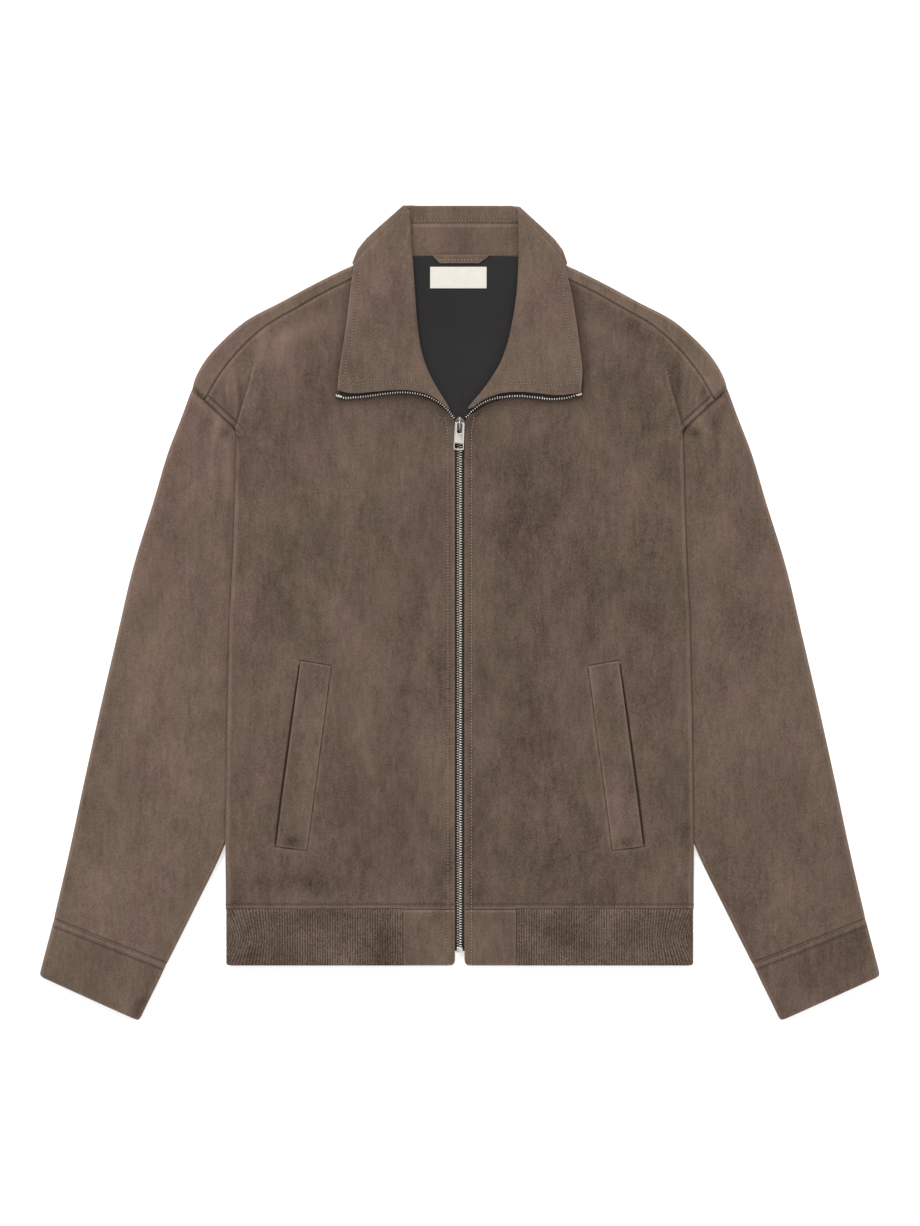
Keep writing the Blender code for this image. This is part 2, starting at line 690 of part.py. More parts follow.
# ---- zip -----------------------------------------------------------------------------------

def zip_tape(side):
    """A tape from the hem to the slider, turned over there and laid along the collar's front edge."""
    rows = []
    for teeth_x, teeth_y, teeth_z, back_x, back_y, back_z in ZIP_TAPE:
        lift = TAPE_LEVEL + TAPE / 2
        rows.append([(teeth_x * side, teeth_y, teeth_z + lift), (back_x * side, back_y, back_z + lift)])
    grid = np.array(rows)
    if side < 0:
        grid = grid[:, ::-1]
    name = "zip_tape_left" if side > 0 else "zip_tape_right"
    return cloth(name, [grid], TAPE, "tape", inward=False)


def slider():
    """The slider's body and the bridge that holds the pull tab."""
    low = TAPE_LEVEL + TAPE + GAP
    body = box("zip_slider", (0, PULL_AXIS_Y, (low + SLIDER_TOP) / 2), (8.0, 11.0, SLIDER_TOP - low),
               "metal", bevel=0.8)
    bridge = box("slider_bridge", (0, PULL_AXIS_Y, SLIDER_TOP + 1.9), (3.0, 8.6, 4.6), "metal", bevel=0.5)
    tunnel = box("slider_tunnel", (0, PULL_AXIS_Y, PULL_AXIS_Z), (6.0, 4.2, 3.0), "metal", bevel=1.0)
    cutters = bpy.data.collections["cutters"]
    for tool, cut in ((bridge, "UNION"), (tunnel, "DIFFERENCE")):
        JACKET.objects.unlink(tool)
        cutters.objects.link(tool)
        tool.hide_render = True
        tool.display_type = "WIRE"
        joined = body.modifiers.new(tool.name, "BOOLEAN")
        joined.object = tool
        joined.operation = cut
    return body


def pull_tab():
    """A flat tab whose cross bar runs through the slider's bridge; its origin is on the bar."""
    half, thick, bar = 5.2, 1.5, 0.9
    tab = box("pull_tab", (0, PULL_AXIS_Y, PULL_AXIS_Z), (1, 1, 1), "metal")
    plate = bmesh.new()
    outer = [(-half, bar), (half, bar), (half + 0.4, 2.4 - PULL_LENGTH), (half - 1.4, -PULL_LENGTH),
             (1.4 - half, -PULL_LENGTH), (-half - 0.4, 2.4 - PULL_LENGTH)]
    slot = [(-2.4, -bar), (2.4, -bar), (2.4, -10.2), (-2.4, -10.2)]
    window = [(-4.0, -20.4), (4.0, -20.4), (4.0, -25.0), (-4.0, -25.0)]
    loops = []
    for ring in (outer, slot, window):
        verts = [plate.verts.new((x * MM, y * MM, -thick / 2 * MM)) for x, y in ring]
        loops += [plate.edges.new((verts[i], verts[(i + 1) % len(verts)])) for i in range(len(verts))]
    bmesh.ops.triangle_fill(plate, use_beauty=True, use_dissolve=False, edges=loops)
    bmesh.ops.recalc_face_normals(plate, faces=plate.faces)
    if plate.faces[0].normal.z > 0:
        bmesh.ops.reverse_faces(plate, faces=plate.faces)
    plate.to_mesh(tab.data)
    plate.free()
    wall = tab.modifiers.new("Wall", "SOLIDIFY")
    wall.thickness = thick * MM
    wall.offset = -1
    tab.rotation_euler.x = PULL_TILT
    return tab


def zip_stop(side):
    name = "zip_stop_left" if side > 0 else "zip_stop_right"
    return box(name, (ZIP_STOP[0] * side, *ZIP_STOP[1:]), (4.0, 3.2, 1.6), "metal", 0.4)


# ---- the jacket ----------------------------------------------------------------------------

def main():
    panel = back()
    collar()
    band()
    neck = upper_face(lining(panel))
    over_lining("hanger_tab", HANGER, 1.2, "suede", neck)
    over_lining("label", LABEL, 0.8, "label", neck)
    for side in (1, -1):
        hand = "left" if side > 0 else "right"
        welt(side, front(side))
        flattened_tube(f"sleeve_{hand}", SLEEVE, sleeve_height, side, 18)
        flattened_tube(f"cuff_{hand}", CUFF, cuff_height, side, 4)
        hem_tab(side)
        zip_tape(side)
        zip_stop(side)
    hem_rib()
    slider()
    pull_tab()
    box("zip_box", ZIP_BOX, (5.4, 6.4, 2.4), "metal", 0.5)


for old in list(bpy.data.objects):
    bpy.data.objects.remove(old)
JACKET = bpy.data.collections.new("suede_jacket")
bpy.context.scene.collection.children.link(JACKET)
bpy.context.scene.collection.children.link(bpy.data.collections.new("cutters"))
main()
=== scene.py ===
"""Looks of a suede zip jacket laid flat on its back: cloth, sewing, zip and finishes.

Tables and sizes are in millimetres and become metres where a mesh is made. X runs across the
jacket (+X is the wearer's left), Y from the hem to the collar and Z up from the surface. Tables
hold the +X half unless a name says otherwise, and a side of -1 mirrors them. Every cloth piece is
a thin wall on the form of the solid that it replaces.
"""
import math

import bmesh
import bpy
import numpy as np
from mathutils import Matrix, Vector
from mathutils.bvhtree import BVHTree


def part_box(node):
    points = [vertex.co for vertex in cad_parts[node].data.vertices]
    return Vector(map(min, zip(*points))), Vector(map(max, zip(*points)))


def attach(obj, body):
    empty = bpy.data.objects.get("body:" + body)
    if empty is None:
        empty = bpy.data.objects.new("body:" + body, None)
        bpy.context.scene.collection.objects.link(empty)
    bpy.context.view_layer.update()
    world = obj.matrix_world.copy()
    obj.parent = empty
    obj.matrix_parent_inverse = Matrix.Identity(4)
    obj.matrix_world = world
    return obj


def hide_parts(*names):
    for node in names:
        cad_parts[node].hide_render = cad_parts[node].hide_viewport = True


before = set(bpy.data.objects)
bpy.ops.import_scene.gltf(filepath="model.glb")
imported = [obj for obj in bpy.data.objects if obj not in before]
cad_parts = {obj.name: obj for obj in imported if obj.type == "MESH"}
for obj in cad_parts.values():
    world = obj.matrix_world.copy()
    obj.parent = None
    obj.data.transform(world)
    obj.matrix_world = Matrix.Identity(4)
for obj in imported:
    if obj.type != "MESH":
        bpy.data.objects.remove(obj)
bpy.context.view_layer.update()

MM = 0.001
FAR_LINE = 99.0          # kept for a line that isn't there
JACKET = "jacket"
PULL = "pull_tab"

# Walls and the spacing of their points
SUEDE = 1.2
LEAF = 2.4               # the collar: two layers of suede
PITCH = 3.6              # between points on plain cloth
FINE_PITCH = 1.5         # and beside a fold

# Main lines, from the frame
HEM_SEAM_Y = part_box("front_left")[0].y / MM
HEM_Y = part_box("hem_rib")[0].y / MM
HEM_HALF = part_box("hem_rib")[1].x / MM
FRONT_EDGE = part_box("front_left")[0].x / MM
TAB_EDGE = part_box("hem_tab_left")[1].x / MM
NECK_SEAM_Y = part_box("collar_band")[0].y / MM
ROLL_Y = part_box("collar")[1].y / MM - LEAF / 2

# Levels of the layers
BACK_WALL = 2.0
SLEEVE_FREE = 7.5
SLEEVE_UNDER = 4.9
BODY_OVER_SLEEVE = 5.5
BODY_OVER_FALL = 2.9
CHEST_GAP = 2.2
EDGE_GAP = 3.4
FRONT_WALL = 2.0
SIDE_TURN = 14.0

# Body outline
SIDE_FOLD = ((-288, 228), (-226, 228), (-96, 226), (-6, 224), (50, 221), (110, 219), (150, 218),
             (174, 217), (178, 217))                                              # y, x
SHOULDER_FOLD = ((261, 218), (258, 228), (247.5, 247), (231, 265.5), (209.5, 284), (173.5, 303.5),
                 (139, 322.0), (104, 338.5), (86, 345))                            # x, y
FORWARD_SEAM = ((248.6, 207.6), (235, 231), (218.6, 252), (192, 277.5), (155.7, 299),
                (128.4, 314.2), (107, 324.4), (92, 333), (78, 345))                # x, y
NECK_SIDE = ((50, 221), (58, 245), (63, 275), (66, 305), (70, 330), (78, 345))     # x, y
FRONT_NECK = {
    1: ((4.6, 176), (5.2, 187.5), (9.2, 192.3), (18.1, 198.6), (29, 204.4), (39, 208.0), *NECK_SIDE),
    -1: ((4.6, 176), (5.2, 188.0), (9.2, 194.2), (17.3, 201.3), (27, 207.5), (39, 211.8), *NECK_SIDE),
}
ARMHOLE = ((213, 174), (261, 218))
ARMHOLE_GAP = -0.6
CREASE = ((150, 217), (178, 216), (200, 210), (217, 205), (240, 200), (262, 196))  # y, x

SLEEVE = (
    # outer_x, outer_y, inner_x, inner_y
    (260.4, 220.0, 211.6, 175.5),
    (271.0, 191.0, 197.0, 135.0),
    (284.0, 157.0, 181.0, 95.0),
    (298.0, 110.0, 171.0, 45.0),
    (318.0, 45.0, 171.0, -25.0),
    (334.0, -23.0, 186.0, -95.0),
    (350.0, -92.0, 208.0, -165.0),
    (366.0, -164.5, 231.0, -231.0),
    (380.5, -233.0, 258.0, -287.0),
    (395.6, -298.6, 285.5, -342.0),
)
CUFF = (
    (395.2, -297.1, 285.1, -340.5),
    (400.5, -317.5, 294.5, -360.5),
    (405.4, -336.0, 303.6, -378.8),
    (409.8, -353.2, 312.4, -397.2),
)


# Numbers

def ramp(value, low, high):
    """0 below low, 1 above high and smooth between."""
    t = np.clip((np.asarray(value, float) - low) / (high - low), 0, 1)
    return t * t * (3 - 2 * t)


def unit(vector):
    return vector / np.linalg.norm(vector, axis=-1, keepdims=True)


def run_along(line):
    """Distance of each of a polyline's points from its start, along it."""
    return np.concatenate([[0], np.cumsum(np.linalg.norm(np.diff(line, axis=0), axis=1))])


def hermite(t, start, end, start_slope, end_slope):
    return ((2 * t**3 - 3 * t**2 + 1) * start + (t**3 - 2 * t**2 + t) * start_slope
            + (3 * t**2 - 2 * t**3) * end + (t**3 - t**2) * end_slope)


def along(table, at):
    first, second = np.array(table, float).T
    return np.interp(at, first, second)


def smooth(points, fine=24):
    """A dense smooth curve through points."""
    points = np.array(points, float)
    knots = run_along(points)
    slopes = np.gradient(points, knots, axis=0)
    at = np.linspace(0, knots[-1], fine * len(points))
    piece = np.clip(np.searchsorted(knots, at, side="right") - 1, 0, len(knots) - 2)
    span = (knots[piece + 1] - knots[piece])[:, None]
    return hermite((at - knots[piece])[:, None] / span, points[piece], points[piece + 1],
                   span * slopes[piece], span * slopes[piece + 1])


def at_shares(line, shares):
    """Points at shares of a polyline's length."""
    line = np.asarray(line, float)
    run = run_along(line)
    return np.stack([np.interp(np.asarray(shares) * run[-1], run, column) for column in line.T], axis=1)


def shares(length, pitch=PITCH, wall=SUEDE, low_edge=True, high_edge=True):
    """Shares of a length, even but for the rounded edges, where they are close together."""
    near = np.array((0, 0.07, 0.25, 0.5, 1.2)) * wall
    start = near[-1] if low_edge else 0
    stop = length - (near[-1] if high_edge else 0)
    middle = np.linspace(start, stop, max(3, round((stop - start) / pitch) + 1))
    parts = [near[:-1]] * low_edge + [middle] + [length - near[:-1][::-1]] * high_edge
    return np.concatenate(parts) / length


def patch(bottom, top, left, right, u, v):
    """A grid spanned by four edges, whose columns are at shares u and rows at shares v."""
    u = np.asarray(u)[None, :, None]
    v = np.asarray(v)[:, None, None]
    across = (1 - u) * left[:, None] + u * right[:, None]
    upward = (1 - v) * bottom[None] + v * top[None]
    corners = ((1 - u) * (1 - v) * bottom[0] + u * (1 - v) * bottom[-1]
               + (1 - u) * v * top[0] + u * v * top[-1])
    return across + upward - corners


def spanned(bottom, top, left, right, u, v):
    """A patch between four polylines."""
    return patch(at_shares(bottom, u), at_shares(top, u), at_shares(left, v), at_shares(right, v), u, v)


def four_sided(low_left, low_right, top_right, top_left, u, v):
    """A patch between four corners."""
    return spanned((low_left, low_right), (top_left, top_right), (low_left, top_left), (low_right, top_right),
                   u, v)


def segment_gaps(x, y, line):
    """Offsets of points from the starts of a polyline's segments, the segments, and the gaps to them."""
    line = np.asarray(line, float)
    start, run = line[:-1], np.diff(line, axis=0)
    offset = np.stack([x, y], axis=-1)[..., None, :] - start
    t = np.clip((offset * run).sum(-1) / (run * run).sum(-1), 0, 1)
    return offset, run, np.linalg.norm(offset - t[..., None] * run, axis=-1)


def distance(x, y, line):
    """Plan distance of points from a polyline."""
    return segment_gaps(x, y, line)[2].min(-1)


def signed_distance(x, y, line):
    """Plan distance from a line, positive on its left; linear across it."""
    offset, run, gap = segment_gaps(x, y, line)
    nearest = gap.argmin(-1)
    pick = np.arange(len(x))
    side = run[nearest, 0] * offset[pick, nearest, 1] - run[nearest, 1] * offset[pick, nearest, 0]
    return gap[pick, nearest] * np.sign(side)


def creases(x, y, table):
    """Soft ridges and troughs: each runs from a start to an end with a bow, and fades at both."""
    total = np.zeros_like(x)
    for x0, y0, x1, y1, bow, width, rise in table:
        run = np.hypot(x1 - x0, y1 - y0)
        t = ((x - x0) * (x1 - x0) + (y - y0) * (y1 - y0)) / run**2
        aside = ((y - y0) * (x1 - x0) - (x - x0) * (y1 - y0)) / run - bow * 4 * t * (1 - t)
        fade = np.sin(np.pi * np.clip(t, 0, 1)) ** 0.8
        total += rise * fade * np.exp(-(aside / width) ** 2)
    return total


def swell(x, y, phase, rise=0.35):
    """The slight unevenness of hide that lies loosely."""
    return rise * (np.sin(x / 31 + 1.7 * phase + 0.8 * np.sin(y / 67 + phase))
                   + 0.8 * np.sin(y / 43 + 2.3 * phase + 1.1 * np.sin(x / 52 - phase))
                   + 0.5 * np.sin((x + 1.4 * y) / 26 + 3.1 * phase)) / 2


def sunk(x, y, lines, depth=0.35, width=1.5):
    """How far rows of sewing draw the cloth down."""
    total = np.zeros_like(x)
    for line in lines:
        total = np.maximum(total, depth * np.exp(-(distance(x, y, line) / width) ** 2))
    return total


# Heights of the layers

SLEEVE_INNER = sorted((row[3], row[2]) for row in SLEEVE)
SHOULDER_LINE = sorted(SHOULDER_FOLD)
STRIP_FAR, STRIP_NEAR = 44, 14           # the body comes up over the sleeve's strip between these gaps
STRIP_TOP_Y = (162, 182)
FALL_RAMP_Y, FALL_RAMP_X = (262, 326), (112, 150)       # and over the collar's fall


def over_sleeve(x, y):
    """How far the body is lifted by the sleeve's strip beneath it, from 0 to 1."""
    inner = along(SLEEVE_INNER, y)
    return ramp(np.abs(x), inner - STRIP_FAR, inner - STRIP_NEAR) * (1 - ramp(y, *STRIP_TOP_Y))


def back_under(x, y):
    fall = ramp(y, *FALL_RAMP_Y) * (1 - ramp(np.abs(x), *FALL_RAMP_X))
    return BODY_OVER_SLEEVE * over_sleeve(x, y) + BODY_OVER_FALL * fall


def back_top(x, y):
    return back_under(x, y) + BACK_WALL


def front_top(x, y):
    """Upper face of a front, without its creases."""
    below_shoulder = along(SHOULDER_LINE, np.abs(x)) - y
    shoulder = (1 - ramp(below_shoulder, 18, 70)) * ramp(np.abs(x), 70, 100)
    armhole = ramp(np.abs(x), 180, 212) * ramp(y, 120, 165)
    side = ramp(np.abs(x), 175, 215) * ramp(y, HEM_SEAM_Y + 2, HEM_SEAM_Y + 60)
    edge = np.maximum(np.maximum(shoulder, armhole), side)
    return back_top(x, y) + CHEST_GAP + (EDGE_GAP - CHEST_GAP) * edge + FRONT_WALL


# Meshes

def grid_normals(face, closed):
    if closed:
        across = (np.roll(face, -1, axis=1) - np.roll(face, 1, axis=1)) / 2
    else:
        across = np.gradient(face, axis=1)
    upward = np.gradient(face, axis=0)
    normal = np.cross(across, upward)
    return normal / np.maximum(np.linalg.norm(normal, axis=-1, keepdims=True), 1e-9)


def grid_quads(rows, columns, closed):
    """Faces between the points of a grid, whose rows may be closed rings."""
    index = np.arange(rows * columns).reshape(rows, columns)
    after = np.roll(index, -1, axis=1)
    if not closed:
        index, after = index[:, :-1], after[:, :-1]
    return np.stack([index[:-1], after[:-1], after[1:], index[1:]], axis=-1).reshape(-1, 4)


def rim_distance(face, closed):
    """Distance of each point from the nearest rim, measured along the grid."""
    def from_ends(axis):
        step = np.linalg.norm(np.diff(face, axis=axis), axis=-1)
        run = np.insert(np.cumsum(step, axis=axis), 0, 0, axis=axis)
        return np.minimum(run, run.take([-1], axis=axis) - run)
    ends = from_ends(0)
    return ends if closed else np.minimum(ends, from_ends(1))


def bending(face, normal, closed):
    """Curvature of a grid in each millimetre: above 0 on a ridge, below 0 in a trough."""
    total = np.zeros(face.shape[:2])
    for axis in (0, 1):
        if axis and closed:
            ahead, behind = np.roll(face, -1, axis=1) - face, np.roll(face, 1, axis=1) - face
        else:
            step = np.diff(face, axis=axis)
            ahead = np.concatenate([step, step.take([-1], axis=axis)], axis=axis)
            behind = -np.concatenate([step.take([0], axis=axis), step], axis=axis)
        far, near = (np.maximum(np.linalg.norm(run, axis=-1, keepdims=True), 0.4) for run in (ahead, behind))
        total -= (2 * (ahead / far + behind / near) / (far + near) * normal).sum(-1)
    return total


def shell(name, face, wall=SUEDE, closed=False, middle=False, sewn=(), seams=(), slots=(), side=1,
          shadow=None, lowest=None, guide=None, knit=None):
    """A closed wall with rounded rims under a grid of outer face points (or about its middle).
    Its thickness lies along the normals of the guide, a smoother grid, where there is one.

    Sewn rows, seams and slots are plan lines; each point keeps its signed distance from up to three
    of each, in millimetres, so that the finish can draw them sharply on any grid. It also keeps
    how sharply the cloth bends there, for ridges made lighter by wear and a painted highlight and
    troughs made darker by grime and painted shade."""
    rows, columns = face.shape[:2]
    normal = grid_normals(face if guide is None else guide, closed)
    from_rim = rim_distance(face, closed)
    half = normal * (wall / 2 * np.sqrt(1 - (1 - np.clip(from_rim / (wall / 2), 0, 1)) ** 2))[..., None]
    centre = face if middle else face - normal * wall / 2
    points = np.concatenate([(centre + half).reshape(-1, 3), (centre - half).reshape(-1, 3)]) * MM
    points[:, 2] = np.maximum(points[:, 2], 0)
    if lowest is not None:
        points[:, 1] = np.maximum(points[:, 1], lowest * MM)
    quads = grid_quads(rows, columns, closed)
    mesh = bpy.data.meshes.new(name)
    mesh.from_pydata(points, [], np.concatenate([quads, quads[:, ::-1] + rows * columns]).tolist())
    cloth_uv = np.zeros((rows, columns, 2))
    cloth_uv[:, 1:, 0] = np.linalg.norm(np.diff(face, axis=1), axis=-1).cumsum(axis=1)
    cloth_uv[1:, :, 1] = np.linalg.norm(np.diff(face, axis=0), axis=-1).cumsum(axis=0)
    corner = np.zeros(len(mesh.loops), int)
    mesh.loops.foreach_get("vertex_index", corner)
    mesh.uv_layers.new(name="cloth").data.foreach_set(
        "uv", np.tile(cloth_uv.reshape(-1, 2) * MM, (2, 1))[corner].ravel())
    x, y = points[:, 0] / MM, points[:, 1] / MM
    bend = bending(face, normal, closed).ravel()
    marks = {"rim": np.tile(from_rim.ravel(), 2),
             "panel": np.full(len(points), sum(map(ord, name)) % 97 / 7),
             "shade": nap_and_painted_light(x, y) + PIECE_SHADE.get(name, 0.0),
             "shadow": shadow(x * side, y) if shadow else 0 * x,
             "bend": np.concatenate([bend, 0 * bend])}
    for kind, lines in (("sewn", sewn), ("seams", seams), ("slots", slots)):
        found = [signed_distance(x * side, y, line) for line in lines]
        marks[kind] = np.stack(found + [np.full(len(x), FAR_LINE)] * (3 - len(found)), axis=1)
        marks[kind + "_gap"] = np.abs(marks[kind]).min(axis=1)
    if knit is not None:
        marks["knit"] = np.tile(knit.ravel(), 2)
    for kind, values in marks.items():
        mark(mesh, kind, values)
    cleaned(mesh, weld=0.004)
    mesh.shade_smooth()
    return placed(name, mesh)


def placed(name, data):
    made = bpy.data.objects.new(name, data)
    bpy.context.scene.collection.objects.link(made)
    return made


def mesh_of(holder):
    """The plain mesh that an object makes; the object goes."""
    bpy.context.view_layer.update()
    mesh = bpy.data.meshes.new_from_object(holder.evaluated_get(bpy.context.evaluated_depsgraph_get()))
    holder.modifiers.clear()
    bpy.data.objects.remove(holder)
    return mesh


def lofted(name, rings):
    """A closed solid through rings of as many points each."""
    rings = np.array(rings, float)
    rows, sides = rings.shape[:2]
    ends = [list(range(sides))[::-1], list(range((rows - 1) * sides, rows * sides))]
    mesh = bpy.data.meshes.new(name)
    mesh.from_pydata((rings.reshape(-1, 3) * MM).tolist(), [], grid_quads(rows, sides, True).tolist() + ends)
    cleaned(mesh, outward=True)
    mesh.shade_smooth()
    return placed(name, mesh)


def around(sides):
    """Angles that go round evenly."""
    return np.arange(sides) * 2 * math.pi / sides


def cleaned(mesh, weld=0.0, outward=False):
    """Welds points closer than a distance in millimetres, and may turn the faces outward."""
    work = bmesh.new()
    work.from_mesh(mesh)
    if weld:
        bmesh.ops.remove_doubles(work, verts=work.verts, dist=weld * MM)
    bmesh.ops.delete(work, geom=[edge for edge in work.edges if not edge.link_faces], context="EDGES")
    if outward:
        bmesh.ops.recalc_face_normals(work, faces=work.faces)
    work.to_mesh(mesh)
    work.free()


def mark(mesh, name, values):
    """Stores a number or a triple for each point of a mesh."""
    kind = "FLOAT" if values.ndim == 1 else "FLOAT_VECTOR"
    layer = mesh.attributes.new(name, kind, "POINT")
    layer.data.foreach_set("value" if values.ndim == 1 else "vector", values.astype(np.float32).ravel())


def nap_and_painted_light(x, y):
    """How much lighter or darker the nap lies: a few patches where a hand has passed. Some patches are
    painted shade and painted highlight instead.
    """
    total = np.zeros(len(x))
    for cx, cy, angle, length, width, amount in NAP_AND_PAINTED_LIGHT_PATCHES:
        turned = math.radians(angle)
        run = (x - cx) * math.cos(turned) + (y - cy) * math.sin(turned)
        aside = (y - cy) * math.cos(turned) - (x - cx) * math.sin(turned)
        total += amount * np.exp(-(run / length) ** 2 - (aside / width) ** 2)
    return total


def face_area(face, closed):
    """Area of a grid's outer face in square metres."""
    if closed:
        face = np.concatenate([face, face[:, :1]], axis=1)
    a, b = face[1:, 1:] - face[:-1, :-1], face[1:, :-1] - face[:-1, 1:]
    return np.linalg.norm(np.cross(a, b), axis=-1).sum() / 2 * MM * MM


def mirrored(grid, side):
    if side > 0:
        return grid
    turned = grid[:, ::-1].copy()
    turned[..., 0] *= -1
    return turned


def arc_about(base, outward, high, low, steps, ends=True):
    """Columns of a half turn from a high to a low level, bulging outward from plan points."""
    radius, middle = (high - low) / 2, (high + low) / 2
    columns = []
    for angle in np.linspace(math.pi / 2, -math.pi / 2, steps)[0 if ends else 1:]:
        spot = base + outward * (radius * math.cos(angle))[:, None]
        columns.append(np.column_stack([spot, middle + radius * math.sin(angle)]))
    return np.stack(columns, axis=1)


def turned_in(turn, outward, reaches):
    """Columns that go back from the last column of a half turn, as far as each reach says."""
    return np.stack([turn[:, -1] - np.column_stack([outward * reach[:, None], 0 * reach])
                     for reach in reaches], axis=1)


def outward_of(line):
    """Unit normals of a plan polyline, to the right of its direction."""
    step = np.gradient(line, axis=0)
    return unit(np.stack([step[:, 1], -step[:, 0]], axis=1))


def upper_face(piece):
    bpy.context.view_layer.update()
    return BVHTree.FromObject(piece, bpy.context.evaluated_depsgraph_get())


def drop(tree, x, y):
    """Where a plumb line meets a piece from above, and the face's direction there."""
    return tree.ray_cast(Vector((x * MM, y * MM, 1)), Vector((0, 0, -1)))[:2]


def hand(side):
    return "left" if side > 0 else "right"


def finished(piece, finish, replaced=None, body=JACKET):
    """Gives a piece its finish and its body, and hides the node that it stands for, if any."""
    piece.data.materials.clear()
    piece.data.materials.append(finish)
    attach(piece, body)
    if replaced:
        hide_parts(replaced)
    return piece


def cloth_piece(name, face, slot, node, flat, rests_on, closed=False, **wall):
    """A finished wall of cloth; the size of its flat cut in metres is not used."""
    piece = finished(shell(name, face, closed=closed, **wall), CLOTHS[slot], node)
    width, length = flat
    min(float(face_area(face, closed)), width * length)
    return piece


# Finishes

class Graph:
    """A material's nodes; each method adds one or a few and gives back an output socket."""

    def __init__(self, name):
        self.made = bpy.data.materials.new(name)
        self.made.use_nodes = True
        self.tree = self.made.node_tree
        self.shader = self.tree.nodes["Principled BSDF"]

    def node(self, kind, settings=(), inputs=(), output=0):
        node = self.tree.nodes.new(kind)
        for key, value in dict(settings).items():
            setattr(node, key, value)
        for key, value in dict(inputs).items():
            self.feed(node.inputs[key], value)
        return node.outputs[output]

    def feed(self, socket, value):
        if isinstance(value, bpy.types.NodeSocket):
            self.tree.links.new(value, socket)
        else:
            socket.default_value = value

    def set(self, **inputs):
        for key, value in inputs.items():
            self.feed(self.shader.inputs[key.replace("_", " ").title().replace("Ior", "IOR")], value)

    def place(self, stretch=(1, 1, 1)):
        space = self.node("ShaderNodeTexCoord", output="Object")
        return self.node("ShaderNodeMapping", inputs={"Vector": space, "Scale": stretch})

    def noise(self, vector, scale, detail=3.0, rough=0.5, seed=0.0):
        return self.node("ShaderNodeTexNoise", {"noise_dimensions": "4D"},
                         {"Vector": vector, "W": seed, "Scale": scale, "Detail": detail, "Roughness": rough})

    def math(self, operation, a, b=0.5):
        return self.node("ShaderNodeMath", {"operation": operation}, {0: a, 1: b})

    def times(self, value, gain):
        return self.math("MULTIPLY", value, gain)

    def about(self, value, gain):
        """A noise's departure from its middle, times a gain."""
        return self.times(self.math("SUBTRACT", value, 0.5), gain)

    def total(self, *values):
        result = values[0]
        for value in values[1:]:
            result = self.math("ADD", result, value)
        return result

    def attribute(self, name, output="Fac"):
        return self.node("ShaderNodeAttribute", {"attribute_name": name}, output=output)

    def fade(self, value, low, high, from_level=0.0, to_level=1.0):
        return self.node("ShaderNodeMapRange", {"interpolation_type": "SMOOTHSTEP"},
                         {"Value": value, "From Min": low, "From Max": high, "To Min": from_level,
                          "To Max": to_level})

    def mix(self, factor, a, b, blend="MIX"):
        settings = {"data_type": "RGBA", "blend_type": blend}
        return self.node("ShaderNodeMix", settings, {0: factor, 6: a, 7: b}, output=2)

    def near_lines(self, name, width):
        """1 on any of the lines kept in an attribute and 0 beyond a width in millimetres."""
        lines = self.node("ShaderNodeSeparateXYZ", inputs={0: self.attribute(name, "Vector")}).node
        gaps = [self.math("ABSOLUTE", lines.outputs[i]) for i in range(3)]
        gap = self.math("MINIMUM", self.math("MINIMUM", gaps[0], gaps[1]), gaps[2])
        beside = self.fade(self.attribute(name + "_gap"), width + 1.2, width + 3.0, 1.0, 0.0)
        return self.times(self.fade(gap, 0.0, width, 1.0, 0.0), beside)

    def bump(self, height, distance, strength=1.0, normal=None):
        inputs = {"Height": height, "Distance": distance, "Strength": strength}
        if normal is not None:
            inputs["Normal"] = normal
        return self.node("ShaderNodeBump", inputs=inputs)


def rgb(red, green, blue):
    """A display colour as a linear one."""
    return tuple((c / 255 / 12.92 if c < 11 else ((c / 255 + 0.055) / 1.055) ** 2.4)
                 for c in (red, green, blue)) + (1.0,)


